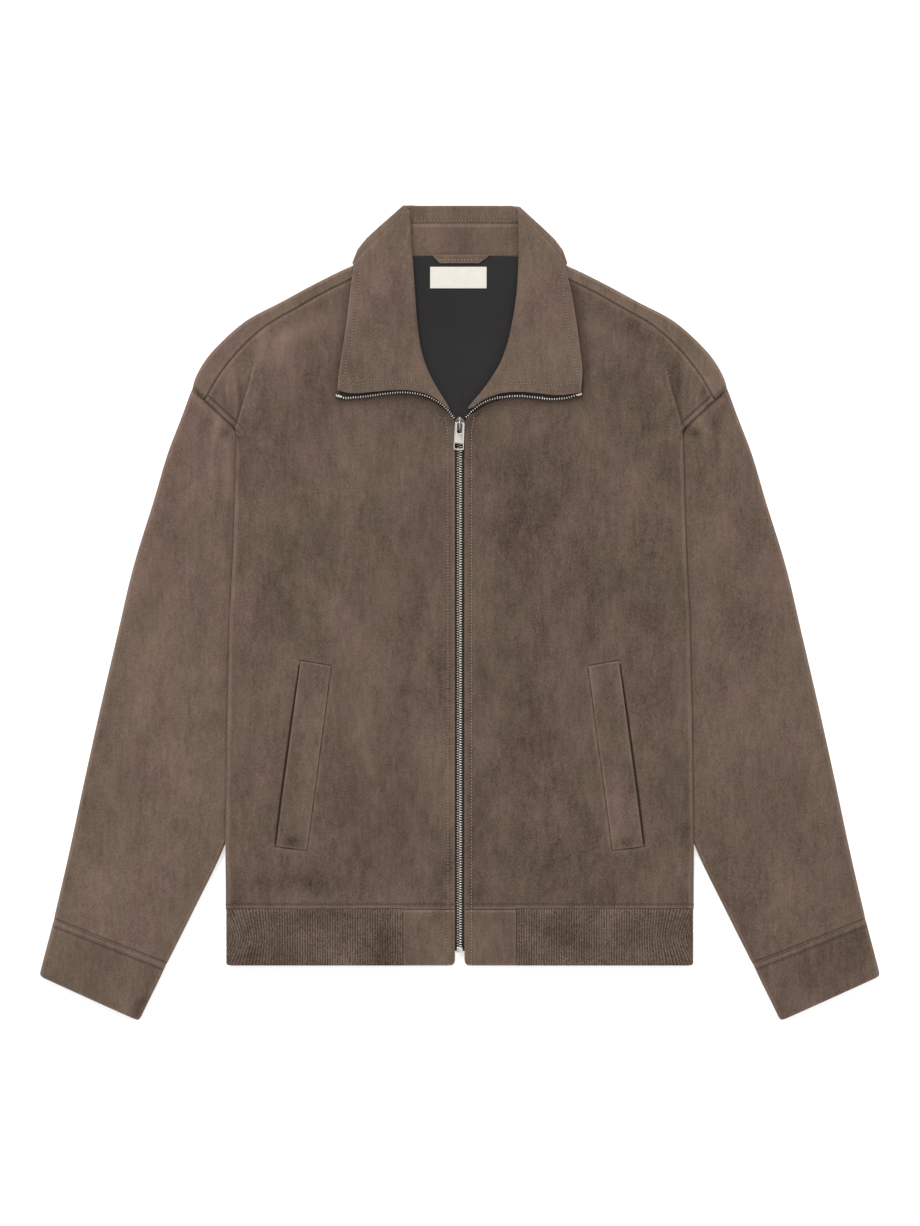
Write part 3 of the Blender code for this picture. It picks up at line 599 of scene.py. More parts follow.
def suede():
    g = Graph("taupe_suede")
    panel = g.attribute("panel")
    cloud = g.noise(g.place((1.5, 0.85, 1.5)), 9, detail=7.5, rough=0.86, seed=panel)
    streak = g.noise(g.place((5, 1, 2)), 60, detail=2, seed=panel)
    grain = g.noise(g.place((1.2, 1, 1)), 620, detail=3, rough=0.8)
    tone = g.total(g.about(cloud, SUEDE_CLOUD), g.about(streak, SUEDE_STREAK), g.about(grain, SUEDE_GRAIN),
                   g.attribute("shade"))
    # lighter along the rims and folded edges: wear and a painted highlight
    rim_wear_and_highlight = g.fade(g.attribute("rim"), 0.4, 2.8, SUEDE_RIM_WEAR_AND_HIGHLIGHT, 0.0)
    # seams and sewn rows: dents in the bump, and painted shade in their grooves in the colour
    dips = g.math("MAXIMUM", g.times(g.near_lines("sewn", 1.15), 0.7), g.near_lines("seams", 1.3))
    # a painted highlight on the cloth a few millimetres beside each seam
    beside = g.times(g.math("SUBTRACT", g.near_lines("seams", 5.0), g.near_lines("seams", 2.6)), 0.10)
    # bends: ridges lighter, from wear and a painted highlight, and troughs darker, from grime and painted
    # shade
    low, high = BEND_RANGE
    bend = g.node("ShaderNodeMapRange", inputs={"Value": g.attribute("bend"), "From Min": low,
                                                "From Max": high, "To Min": low, "To Max": high})
    tone = g.total(tone, rim_wear_and_highlight, beside, bend, 0.5)
    warm = g.mix(tone, SUEDE_DARK, SUEDE_LIGHT)
    hue = g.noise(g.place((1.2, 0.8, 1)), 13, detail=4, rough=0.7, seed=g.math("ADD", panel, 5.0))
    tint = g.mix(g.fade(hue, 0.36, 0.64), (1.035, 0.985, 1.03, 1), (0.985, 1.01, 0.955, 1))
    colour = g.mix(1.0, warm, tint, "MULTIPLY")
    # painted shadow on the fronts under the collar
    colour = g.mix(g.attribute("shadow"), colour, SUEDE_PAINTED_SHADE)
    # painted shade in the grooves of seams and sewn rows
    colour = g.mix(g.times(dips, 0.55), colour, SUEDE_PAINTED_SHADE)
    colour = g.mix(g.near_lines("slots", 2.3), colour, SLOT_SHADE)
    fibres = g.noise(g.place((2.2, 1, 1)), 900, detail=2, rough=0.7)
    lie = g.noise(g.place((3, 1, 1)), 150, detail=3, rough=0.7, seed=panel)
    nap = g.bump(g.total(fibres, g.times(lie, 1.6)), 0.00035, 0.55)
    dents = g.bump(g.math("SUBTRACT", 1.0, dips), 0.0006, 0.8, nap)
    g.set(base_color=colour, roughness=0.96, normal=dents, sheen_weight=0.32, sheen_roughness=0.55,
          sheen_tint=rgb(196, 176, 158), specular_ior_level=0.15)
    return g.made


SUEDE_DARK = rgb(47, 37, 31)
SUEDE_LIGHT = rgb(124, 105, 92)
# the colour of the painted shadow under the collar and the painted shade in seams and sewn rows
SUEDE_PAINTED_SHADE = rgb(50, 39, 33)
SUEDE_CLOUD = 1.6
SUEDE_STREAK = 0.3
SUEDE_GRAIN = 1.25
# how much lighter the rims are: wear and a painted highlight
SUEDE_RIM_WEAR_AND_HIGHLIGHT = 0.2
# how far bends lighten ridges and darken troughs: wear and painted highlight, grime and painted shade
BEND_RANGE = (-0.16, 0.24)
SLOT_SHADE = rgb(28, 18, 13)
# Nap patches and painted light: (-212, 226) and (212, 226) are painted shade in the hollow beside each
# crease, (-226, 222) and (226, 222) a painted highlight on a fold in it, (-237, 182), (237, 182), (-246, 188)
# and (246, 188) a painted highlight and painted shade on a fold at the top of each sleeve, (-227, 176) and
# (227, 176) painted shade under the arms; the rest is nap that lies lighter or darker.
NAP_AND_PAINTED_LIGHT_PATCHES = (
    # x, y, angle, length, width, amount
    (-193, 264, 80, 14, 5, 0.36), (-171, 266, 70, 22, 10, 0.3), (-150, 280, 30, 30, 8, 0.2),
    (-205, 236, 52, 30, 8, 0.14), (-150, 262, 30, 60, 24, 0.14), (150, 262, -30, 60, 22, 0.08),
    (-120, 285, 20, 30, 10, 0.10), (-150, -262, 0, 46, 13, -0.14), (150, 270, -30, 40, 12, 0.16),
    (-212, 226, 76, 26, 6, -0.2), (-226, 222, 82, 18, 4, 0.16), (-237, 182, 80, 16, 5, 0.24),
    (-246, 188, 70, 18, 5, -0.2), (-227, 176, 40, 8, 5, -0.35), (212, 226, -76, 26, 6, -0.2),
    (226, 222, -82, 18, 4, 0.14), (237, 182, -80, 16, 5, 0.2), (246, 188, -70, 18, 5, -0.18),
    (227, 176, -40, 8, 5, -0.35), (-163, -222, 8, 8, 5, -0.3), (163, -222, 0, 8, 5, -0.25),
    (-309, -383, 60, 14, 7, -0.35),
    (-185, -297, 0, 44, 9, -0.18), (-73, -316, 20, 20, 11, -0.16), (95, -312, -10, 36, 13, -0.12),
    (-12, -255, 62, 34, 9, -0.20), (-22, -290, 62, 16, 8, -0.16), (-105, 0, 88, 150, 26, 0.08),
    (-60, -60, 80, 90, 22, -0.08), (60, 60, 95, 120, 24, -0.07), (110, -60, 88, 140, 22, 0.07),
    (-168, -240, 50, 16, 8, -0.14), (172, -236, -50, 14, 8, -0.12), (20, 205, 60, 26, 12, -0.10),
    (-300, -60, 68, 130, 14, 0.10), (320, -90, -68, 120, 14, 0.08), (-250, 60, 70, 80, 10, -0.08),
    (255, 30, -70, 80, 12, -0.08), (-330, -180, 68, 60, 10, -0.08), (-150, -262, 0, 30, 9, -0.10),
)
PIECE_SHADE = {
    "front_suede_right": -0.03, "front_suede_left": -0.07, "sleeve_suede_right": 0.1, "collar_suede": 0.1,
    "back_suede": 0.12,
}
UNDER_TEETH = 0.66               # painted shadow: how much darker the fronts are just below the collar's teeth
# and the painted shadow beside the collar leaf's outer edge, on each side
UNDER_LEAF = {1: 0.6, -1: 0.32}


def lining_cloth():
    g = Graph("black_twill")
    twill = g.node("ShaderNodeTexWave", {"wave_type": "BANDS", "bands_direction": "DIAGONAL"},
                   {"Vector": g.place(), "Scale": 420, "Distortion": 0.4, "Detail": 1.0})
    cloud = g.noise(g.place((1, 0.6, 1)), 14, detail=4)
    tone = g.total(g.about(cloud, 0.6), g.about(twill, 0.25), 0.5)
    colour = g.mix(tone, rgb(18, 16, 17), rgb(33, 30, 31))
    g.set(base_color=colour, roughness=0.62, normal=g.bump(twill, 0.00012, 0.5), sheen_weight=0.08,
          specular_ior_level=0.3)
    return g.made


def knit():
    g = Graph("rib_knit")
    spot = g.node("ShaderNodeUVMap", {"uv_map": "cloth"})
    rows = g.node("ShaderNodeTexWave", {"bands_direction": "Y"},
                  {"Vector": spot, "Scale": 430, "Distortion": 0.8, "Detail": 2.0, "Detail Scale": 3.0})
    fuzz = g.noise(g.place(), 1100, detail=3, rough=0.8)
    cloud = g.noise(g.place((1.2, 0.9, 1)), 14, detail=5, rough=0.75)
    depth = g.fade(g.attribute("knit"), 0.0, 1.0)
    grain = g.noise(g.place(), 640, detail=2, rough=0.7)
    # ribs: darker in the troughs between them and lighter on their tops, painted shade and painted highlight
    tone = g.total(g.about(grain, 2.8), g.about(rows, 0.6), g.about(depth, 0.6), 0.5)
    colour = g.mix(tone, rgb(62, 52, 45), rgb(137, 117, 103))
    cloud = g.total(g.about(cloud, 2.8), g.attribute("shade"), 0.46)
    colour = g.mix(1.0, colour, g.mix(cloud, (0.42, 0.405, 0.39, 1), (1, 1, 1, 1)), "MULTIPLY")
    yarn = g.bump(g.total(g.times(rows, 0.5), fuzz), 0.00035, 0.6)
    g.set(base_color=colour, roughness=0.95, normal=yarn, sheen_weight=0.2,
          sheen_roughness=0.5, sheen_tint=rgb(190, 170, 150), specular_ior_level=0.15)
    return g.made


def woven(name, dark, light, scale):
    g = Graph(name)
    spot = g.node("ShaderNodeUVMap", {"uv_map": "cloth"})
    warp = g.node("ShaderNodeTexWave", {"bands_direction": "X"}, {"Vector": spot, "Scale": scale})
    weft = g.node("ShaderNodeTexWave", {"bands_direction": "Y"}, {"Vector": spot, "Scale": scale})
    weave = g.math("MAXIMUM", warp, weft)
    cloud = g.noise(g.place(), 120, detail=3)
    colour = g.mix(g.total(g.about(weave, 0.5), g.about(cloud, 0.7), 0.5), dark, light)
    g.set(base_color=colour, roughness=0.85, normal=g.bump(weave, 0.00015, 0.6), sheen_weight=0.1,
          specular_ior_level=0.2)
    return g.made


def thread(name, dark, light):
    g = Graph(name)
    twist = g.noise(g.place(), 900, detail=2)
    g.set(base_color=g.mix(twist, dark, light), roughness=0.8, sheen_weight=0.1,
          normal=g.bump(twist, 0.0001, 0.5))
    return g.made


def nickel(name, low, high, roughness):
    g = Graph(name)
    brushed_lines = g.noise(g.place((1, 8, 1)), 1400, detail=2)
    cloud = g.noise(g.place(), 160, detail=3)
    colour = g.mix(g.total(g.about(brushed_lines, 0.5), g.about(cloud, 0.8), 0.5), low, high)
    rough = g.fade(brushed_lines, 0.3, 0.7, roughness - 0.05, roughness + 0.07)
    g.set(base_color=colour, metallic=1.0, roughness=rough)
    return g.made


CLOTHS = {
    "suede": suede(), "lining": lining_cloth(), "rib": knit(),
    "label": woven("cream_label", rgb(214, 209, 196), rgb(238, 234, 224), 700),
    "zip_tape": woven("dark_tape", rgb(30, 23, 21), rgb(54, 44, 40), 520),
}
THREAD_FINISH = thread("taupe_thread", rgb(134, 116, 102), rgb(162, 143, 127))
DEEP_THREAD_FINISH = thread("deep_thread", rgb(70, 57, 49), rgb(96, 81, 71))
NICKEL_FINISH = nickel("nickel", rgb(184, 179, 172), rgb(224, 219, 212), 0.28)
TEETH_FINISH = nickel("nickel_teeth", rgb(200, 194, 188), rgb(236, 231, 226), 0.3)
# painted shade: darker copies of the nickel for the slider, its crown and bridge, and the closed teeth at -X
SHADED_SLIDER_FINISH = nickel("nickel_slider_painted_shade", rgb(84, 79, 74), rgb(128, 121, 114), 0.4)
# painted highlight: a lighter copy of the nickel for the open teeth
HIGHLIT_TEETH_FINISH = nickel("nickel_teeth_painted_highlight", rgb(232, 227, 221), rgb(250, 248, 245), 0.26)
SHADED_NICKEL_FINISH = nickel("nickel_painted_shade", rgb(156, 148, 141), rgb(196, 188, 180), 0.36)


# Body

FRONT_EDGE_DROP = 2.4
WELT_BED = 1.1
ARMHOLE_DROP = 2.4
SEAM_DEPTH, SEAM_WIDTH = 0.8, 1.6
UPPER_Y = 174                            # above it the fronts follow the armhole and the neck
ROWS_BELOW, ROWS_ABOVE = 0.8, 0.2        # shares of a front's rows on each side of it
WIDE_COLUMNS, FINE_COLUMNS = 0.76, 0.24  # and of its columns; the fine ones are at the side
FRONT_LENGTHS, FRONT_WIDTHS = (462, 60), (220, 54)       # about how long and wide those parts are
CREASE_RISE = {1: 2.8, -1: 4.8}
CREASE_OVERHANG = {1: 1.0, -1: 2.6}

FRONT_CREASES = {
    # from x, y, to x, y, bow, width, rise
    1: ((190, 250, 150, 150, 8, 16, 0.8), (60, 150, 130, 60, -10, 22, -0.7),
        (120, -60, 190, -200, 6, 18, 0.6), (221, 244, 219, 190, -2, 4, 1.3),
        (232, 236, 228, 194, -2, 4, -1.1)),
    -1: ((186, 246, 140, 140, 6, 18, 0.8), (50, 140, 120, 40, -8, 24, -0.7),
         (110, -40, 180, -190, 6, 20, 0.6), (222, 242, 218, 186, -2, 4, 1.5),
         (233, 234, 229, 192, -2, 4, -1.3)),
}

EDGE_STITCH = FRONT_EDGE + 6.8
ARMHOLE_STITCH = 6.5


def by_armhole(share, inward):
    """A point at a share of the armhole seam, moved toward the body."""
    start, end = np.array(ARMHOLE, float)
    across, up = unit(end - start)
    return start + (end - start) * share + np.array((-up, across)) * inward


def front_stitches():
    edge = [(EDGE_STITCH, y) for y in (HEM_SEAM_Y, -100, 60, 176)] + [(14, 190), (21, 196)]
    hem = [(FRONT_EDGE, HEM_SEAM_Y + 4.6), (HEM_HALF + 3, HEM_SEAM_Y + 4.6)]
    armhole = [by_armhole(8 / math.dist(*ARMHOLE), ARMHOLE_STITCH), by_armhole(1, ARMHOLE_STITCH)]
    return edge, hem, armhole


FRONT_SEAMS = (np.concatenate([[(216, 176.8)], smooth(FORWARD_SEAM)]),
               ((TAB_EDGE, HEM_SEAM_Y), (240, HEM_SEAM_Y)))


def front_plain(x, y, side):
    """Upper face of a front where it has no sewing."""
    return front_top(x, y) + creases(x, y, FRONT_CREASES[side]) + swell(x, y, side + 0.4)


def crease_fade(x, y, low, high):
    """Where the crease beside the armhole lies: above the sleeve's strip and below two levels."""
    return (1 - ramp(y, low, high)) * (1 - over_sleeve(x, y)) * ramp(y, 130, 165)


def front_height(x, y, side):
    """Upper face of a front with its creases, sewing, seams and the bed of its pocket welt."""
    base = front_plain(x, y, side) - WELT_BED * ramp(inside_welt(x, y), -1.2, 0.8)
    base = base - sunk(x, y, FRONT_SEAMS, SEAM_DEPTH, SEAM_WIDTH) - sunk(x, y, front_stitches())
    line = along(CREASE, y)
    beside = ramp(x, line - 38, line - 3) * (1 - ramp(x, line - 0.3, line + 2.6))
    return base + CREASE_RISE[side] * beside * crease_fade(x, y, 200, 262)


def front(side):
    """A front: its edge turned under beside the zip, its face, and the turn round the body's side."""
    low_length, high_length = FRONT_LENGTHS
    lower = shares(low_length, high_edge=False) * ROWS_BELOW
    upper = ROWS_BELOW + ROWS_ABOVE * shares(high_length, pitch=FINE_PITCH, low_edge=False)[1:]
    v = np.concatenate([lower, upper])
    above = (upper - ROWS_BELOW) / ROWS_ABOVE
    low_y = HEM_SEAM_Y + (UPPER_Y - HEM_SEAM_Y) * lower / ROWS_BELOW
    side_line = np.stack([along(SIDE_FOLD, low_y), low_y], axis=1)
    armhole = [side_line[-1], *(by_armhole(share, ARMHOLE_GAP) for share in (0.15, 0.6)), FORWARD_SEAM[0]]
    limit = np.concatenate([side_line, at_shares(armhole, above)])
    outward = outward_of(limit)
    inner_low = np.stack([np.full(len(low_y), FRONT_EDGE), low_y], axis=1)
    inner = np.concatenate([inner_low, at_shares(smooth(FRONT_NECK[side]), above)])
    inward = -outward_of(inner)
    y = limit[:, 1]
    turned = ramp(y, 150, 176)
    beneath = along(SLEEVE_INNER, y)
    low = BODY_OVER_SLEEVE * ramp(limit[:, 0] - SIDE_TURN, beneath - STRIP_FAR, beneath - STRIP_NEAR)
    high = front_height(limit[:, 0] - 4, y, side)
    low = low + (high - ARMHOLE_DROP - low) * turned
    right = limit - outward * ((high - low) / 2)[:, None]
    left = inner - inward * FRONT_EDGE_DROP / 2
    wide, fine = (shares(width, pitch, low_edge=False, high_edge=False)
                  for width, pitch in zip(FRONT_WIDTHS, (PITCH, FINE_PITCH)))
    u = np.concatenate([wide * WIDE_COLUMNS, WIDE_COLUMNS + FINE_COLUMNS * fine[1:]])
    bottom = at_shares([left[0], right[0]], u)
    top = at_shares(smooth([left[-1], *FORWARD_SEAM[-2::-1]]), u)
    plan = patch(bottom, top, left, right, u, v)
    x, y = plan[..., 0], plan[..., 1]
    z = front_height(x, y, side)
    hang = CREASE_OVERHANG[side] * crease_fade(x, y, 196, 256)
    face = np.dstack([x + np.exp(-((x - along(CREASE, y) + 0.6) / 1.9) ** 2) * hang, y, z])
    outer_turn = arc_about(right, outward, face[:, -1, 2], low, 15, ends=False)
    reach = SIDE_TURN - 9 * turned
    under = turned_in(outer_turn, outward, [reach * share for share in (0.3, 0.65, 1.0)])
    edge_turn = arc_about(left, inward, face[:, 0, 2], face[:, 0, 2] - FRONT_EDGE_DROP, 9, ends=False)
    facing = turned_in(edge_turn, inward, [np.full(len(v), back) for back in (2.0, 5.0, 8.0)])
    whole = np.concatenate([facing[:, ::-1], edge_turn[:, ::-1], face, outer_turn, under], axis=1)
    top_out, top_in, low_in, low_out = WELT
    mouth = [np.array(top_out) * (1 - share) + np.array(low_out) * share + (past, 0)
             for share, past in ((0.02, 0.4), (0.3, 1.3), (0.75, 1.6), (0.985, 0.9))]

    def shadow(x, y):
        leaf = [row[2:4] for row in COLLAR[side][LEAF_POINT:]]
        return np.maximum(UNDER_TEETH * np.exp(-(distance(x, y, COLLAR_TEETH[side]) / 8) ** 2),
                          UNDER_LEAF[side] * np.exp(-(distance(x, y, leaf) / 8) ** 2))
    return cloth_piece(f"front_suede_{hand(side)}", mirrored(whole, side), "suede", f"front_{hand(side)}",
                       (0.27, 0.66), "back_panel", sewn=front_stitches()[1:], side=side, shadow=shadow,
                       seams=[*FRONT_SEAMS, (top_out, top_in, low_in, low_out)], slots=[mouth])


def back():
    """The back: its flat panel, and strips that come over the shoulders to the forward seams."""
    steps = 44
    fold = at_shares(smooth(SHOULDER_FOLD), np.linspace(0, 1, steps))
    normals = outward_of(fold)
    low = back_under(fold[:, 0], fold[:, 1])
    high = front_top(fold[:, 0], fold[:, 1] - 12)
    inset = fold - normals * ((high - low) / 2)[:, None]
    seam = at_shares(smooth(FORWARD_SEAM), np.linspace(0, 1, steps)) - normals * 0.5
    neck = np.linspace((70, NECK_SEAM_Y), (-70, NECK_SEAM_Y), 24)
    flip = np.array((-1, 1))
    top = np.concatenate([inset, neck, inset[::-1] * flip])
    outward = np.concatenate([normals, np.tile((0.0, 1.0), (24, 1)), normals[::-1] * flip])
    levels_low = np.concatenate([low, back_under(neck[:, 0], neck[:, 1]), low[::-1]])
    levels_high = np.concatenate([high, levels_low[steps:-steps] + 1.6, high[::-1]])
    ends = np.concatenate([seam, neck - (0, 3), seam[::-1] * flip])
    ends_level = np.concatenate([front_top(*seam.T), levels_high[steps:-steps], front_top(*seam[::-1].T)])
    v = shares(630, pitch=8, high_edge=False)
    low_y = np.linspace(HEM_SEAM_Y, 140, 60)
    side_seam = np.stack([along(SIDE_FOLD, low_y) - SIDE_TURN - 0.15, low_y], axis=1)
    armhole = [by_armhole(share, ARMHOLE_GAP) for share in (0.03, 0.38, 0.7)]
    edge = at_shares(np.concatenate([side_seam, [(203.6, 156), (207, 172)], armhole, inset[:1]]), v)
    u = run_along(top)
    u = u / u[-1]
    bottom = at_shares([edge[0], edge[0] * flip], u)
    plan = patch(bottom, top, edge, edge * flip, u, v)
    x, y = plan[..., 0], plan[..., 1]
    lifted = np.clip(creases(x, y, BACK_CREASES), 0, None) * ramp(NECK_SEAM_Y - y, 0, 40)
    panel = np.dstack([x, y, back_under(x, y) + lifted])
    turn = arc_about(top, outward, levels_high, levels_low, 12)[:, ::-1]
    turn[:, :, 2] += (panel[-1, :, 2] - levels_low)[:, None] * np.linspace(1, 0, 12)
    last = turn[:, -1]
    strip = []
    for share in shares(22, pitch=2.6, low_edge=False)[1:]:
        spot = last[:, :2] + (ends - last[:, :2]) * share
        level = levels_high + (ends_level - levels_high) * share
        dip = sunk(np.abs(spot[:, 0]), spot[:, 1], [smooth(FORWARD_SEAM)], SEAM_DEPTH, SEAM_WIDTH)
        strip.append(np.column_stack([spot, level + 0.5 * math.sin(math.pi * share) - dip]))
    whole = np.concatenate([panel, turn.transpose(1, 0, 2)[1:], np.array(strip)])
    return cloth_piece("back_suede", whole, "suede", "back_panel", (0.60, 0.68), "floor",
                       seams=[smooth(FORWARD_SEAM), smooth(FORWARD_SEAM) * flip, ARMHOLE])


# Sleeves and cuffs

TUBE_OVER, TUBE_UNDER, TUBE_TURN = 56, 12, 14        # points across a tube's faces and edges
SLEEVE_CROWN = 1.6
SLEEVE_TUCKED = 2.2                                  # the least level of the cap under the body


def tube(sections, side, v, edge_height, top_height, drawn_in=0):
    """A flattened tube: flat beneath, with rounded edges and a worked-out upper face."""
    table = at_shares(smooth(sections), v)
    outer, inner = table[:, :2], table[:, 2:]
    run = unit(outer - inner)
    pinch = run * np.atleast_1d(drawn_in)[:, None]
    outer, inner = outer - pinch, inner + pinch
    high_out, high_in = edge_height(*outer.T), edge_height(*inner.T)
    start = inner + run * (high_in / 2)[:, None]
    end = outer - run * (high_out / 2)[:, None]
    share = np.linspace(0, 1, TUBE_OVER)[None, :, None]
    over = end[:, None] + (start - end)[:, None] * share
    over = np.dstack([over, top_height(over[..., 0], over[..., 1], share[..., 0])])
    under = start[:, None] + (end - start)[:, None] * np.linspace(0, 1, TUBE_UNDER)[None, :, None]
    under = np.dstack([under, np.zeros(under.shape[:2])])
    outer_turn = arc_about(end, run, over[:, 0, 2], 0 * high_out, TUBE_TURN)[:, -2:0:-1]
    inner_turn = arc_about(start, -run, over[:, -1, 2], 0 * high_in, TUBE_TURN)[:, 1:-1]
    return mirrored(np.concatenate([under, outer_turn, over, inner_turn], axis=1), side)


def rounded_over(share):
    """0 at both edges of a tube and 1 over its middle."""
    return 1 - (2 * share - 1) ** 4


def sleeve_edge(x, y):
    fold = along(SIDE_FOLD, y)
    free = np.maximum(ramp(x, fold - 3.5, fold + 2), ramp(-y, 232, 262))
    return SLEEVE_UNDER + (SLEEVE_FREE - SLEEVE_UNDER) * free


SLEEVE_CREASES = {
    1: ((262, 150, 246, 40, 6, 9, 0.9), (286, 60, 300, -70, -8, 13, -0.8),
        (262, -40, 284, -170, 10, 12, 0.8), (240, 160, 228, 110, 3, 5, -1.4),
        (330, -110, 352, -240, -6, 14, 0.9), (300, -200, 330, -280, 6, 12, -0.8),
        (248, 205, 240, 120, -4, 6, 1.5), (258, 205, 254, 120, -5, 5, -1.3),
        (230, 176, 214, 110, -3, 5, 1.2)),
    -1: ((266, 140, 252, 30, 6, 10, 0.9), (292, 70, 306, -50, -8, 12, -0.8),
         (256, -20, 276, -150, 10, 13, 0.8), (238, 162, 226, 112, 3, 5, -1.5),
         (322, -90, 346, -230, -6, 15, 0.9), (296, -190, 322, -276, 6, 12, -0.8),
         (250, 205, 238, 124, -4, 6, 1.6), (261, 202, 252, 118, -5, 5, -1.3),
         (232, 172, 216, 112, -3, 5, 1.2)),
}
BACK_CREASES = ((-150, -200, -60, 120, 20, 22, 0.8), (140, -180, 80, 100, -16, 24, 0.8),
                (-40, 150, 60, 250, 10, 26, 0.7))


def cuff_seam(offset):
    """Line of the cuff seam, moved down the sleeve by an offset."""
    outer_x, outer_y, inner_x, inner_y = CUFF[0]
    down = np.array((outer_y - inner_y, inner_x - outer_x))
    down = unit(down) * np.sign(-down[1])
    return np.array([(outer_x + 8, outer_y + 3.2), (inner_x - 8, inner_y - 3.2)]) + down * offset


def past_armhole(x, y):
    """Distance from the armhole seam, positive on the sleeve's side."""
    (x0, y0), (x1, y1) = ARMHOLE
    return ((x - x0) * (y1 - y0) - (y - y0) * (x1 - x0)) / math.hypot(x1 - x0, y1 - y0)


def sleeve(side):
    def top(x, y, share):
        seam = sunk(x, y, [cuff_seam(0)], depth=0.5, width=1.8)
        past_fold = x - along(SIDE_FOLD, y)
        crown = SLEEVE_CROWN * rounded_over(share) * ramp(past_fold, -3, 12)
        free = ramp(past_fold, -2, 10)
        edge = np.clip(share * 12, 0, 1) * np.clip((1 - share) * 12, 0, 1)
        soft = creases(x, y, SLEEVE_CREASES[side]) + swell(x, y, 2.6 * side, 0.45)
        head = (0.8 + 2.4 * edge) * (1 - ramp(past_armhole(x, y), -2, 6))
        return sleeve_edge(x, y) + crown + soft * edge * free - seam - head
    face = tube(SLEEVE, side, shares(560, pitch=4.0), sleeve_edge, top)
    tucked = 1 - ramp(past_armhole(face[..., 0] * side, face[..., 1]), -1.6, -0.2)
    face[..., 2] = np.maximum(face[..., 2], SLEEVE_TUCKED * tucked)
    return cloth_piece(f"sleeve_suede_{hand(side)}", face, "suede", f"sleeve_{hand(side)}", (0.46, 0.58),
                       "floor", closed=True, seams=[ARMHOLE, cuff_seam(0)], side=side)


CUFF_HEIGHT = 7.4
CUFF_CROWN = 0.9
CUFF_LENGTH = 58
CUFF_WALL = 2.2
CUFF_ROWS = (1.1, 7.6)
CUFF_CORNER = 1.8


def cuff(side):
    def edge(x, y):
        return np.full(np.shape(x), CUFF_HEIGHT)

    def top(x, y, share):
        seam = sunk(x, y, [cuff_seam(0)], depth=1.3, width=2.0)
        return (CUFF_HEIGHT + CUFF_CROWN * rounded_over(share) + swell(x, y, 5.1 * side, 0.3) - seam
                - sunk(x, y, [cuff_seam(CUFF_ROWS[1])]))
    v = shares(CUFF_LENGTH, pitch=2.0, wall=CUFF_WALL)
    corner = CUFF_CORNER * np.clip(1 - (1 - v) * CUFF_LENGTH / 4, 0, 1) ** 2
    return cloth_piece(f"cuff_suede_{hand(side)}", tube(CUFF, side, v, edge, top, drawn_in=corner), "suede",
                       f"cuff_{hand(side)}", (0.24, 0.12), "floor", wall=CUFF_WALL, closed=True, side=side,
                       seams=[cuff_seam(0)], sewn=[cuff_seam(offset) for offset in CUFF_ROWS])


# Collar

COLLAR = {
    # roll_x, roll_y, edge_x, edge_y; the seventh row is the leaf's point
    1: ((8.5, 199.0, 12.9, 201.0), (14.5, 206.5, 24.7, 208.8), (20.5, 213.5, 41.4, 214.7),
        (28.5, 224.0, 58.2, 215.6), (36.0, 235.5, 75.0, 214.2), (40.5, 243.5, 96.8, 212.2),
        (42.5, 248.0, 118.0, 214.8), (48.1, 264.5, 119.6, 236.0), (52.5, 285.0, 117.2, 258.0),
        (56.3, 310.0, 113.4, 285.0), (58.0, 335.0, 109.5, 309.0), (58.8, 362.0, 105.5, 326.0),
        (57.5, 389.5, 102.8, 337.5)),
    -1: ((10.5, 198.5, 14.0, 202.0), (15.0, 206.0, 25.7, 211.4), (19.8, 213.5, 39.2, 216.0),
         (26.5, 225.0, 59.3, 217.4), (32.0, 236.0, 84.5, 215.5), (35.4, 245.0, 104.6, 214.0),
         (36.8, 250.0, 119.2, 217.0), (39.6, 262.0, 117.6, 234.0), (42.6, 285.0, 114.2, 256.0),
         (44.4, 310.0, 110.4, 282.0), (46.0, 335.0, 107.5, 306.0), (48.0, 362.0, 105.0, 325.0),
         (49.5, 389.5, 102.8, 337.5)),
}
LEAF_TURNS = (                   # turn_in, puff
    (2.0, 0.5), (3.5, 0.9), (6.0, 1.2), (9.0, 1.6), (11.0, 1.9), (12.0, 2.0), (12.0, 2.0), (12.0, 2.2),
    (11.0, 2.2), (10.0, 1.8), (10.0, 1.2), (14.0, 0.6), (13.0, 0.0),
)
LEAF_POINT = 6
COLLAR_STITCHES = (
    ((-98.1, 330.1), (-101.1, 304.3), (-102.9, 284.0), (-105.6, 264.5), (-108.5, 251.6), (-111.5, 236.6),
     (-115.3, 223.9), (-101.6, 222.7), (-86.7, 224.2), (-66.8, 225.2), (-50.8, 225.2), (-38.0, 221.5)),
    ((99.6, 330.0), (100.9, 314.0), (103.0, 292.0), (106.8, 271.4), (110.3, 254.6), (113.4, 238.6),
     (114.7, 224.2), (91.7, 222.1), (69.9, 223.3), (48.1, 223.4), (36.0, 220.0)),
    ((-43, 382.8), (45, 382.8)),
)
BACK_ROLL_X = (-44.0, -32.0, -16.0, 4.0, 24.0, 38.0, 48.0)
BACK_TURN = 16.2
BACK_PUFF = 1.1
NECK_MIDDLE = 4.0
FALL_SPREAD = 0.35
FALL_EDGE_Y = 336.0
FALL_LEVEL = 1.2
SHOULDER_AXIS_Z = 6.1
TURN_REACH = 2.0
SHOULDER_BOW = ((0, 0.2, 0.42, 0.65, 0.83, 0.93, 1.0), (0, 1.8, 4.0, 5.8, 5.2, 2.4, 0.0))   # share, bow
ROLL_SLIDE = {1: (-4.0, 3.0), -1: (1.2, 3.8)}
EDGE_SLIDE = (-3.6, 0.0)
LAST_SLIDE = {1: (-4.0, 3.7), -1: (-4.2, 3.3)}
LEAF_CLEAR = 2.6
TAPE_CLEAR = 1.8
ROLL_STEPS = 12
COLLAR_JOINTS = (90, 130)        # rows of the smooth surface where shoulders meet the back
EASED_ROWS, EASED_TIMES = 5, 30
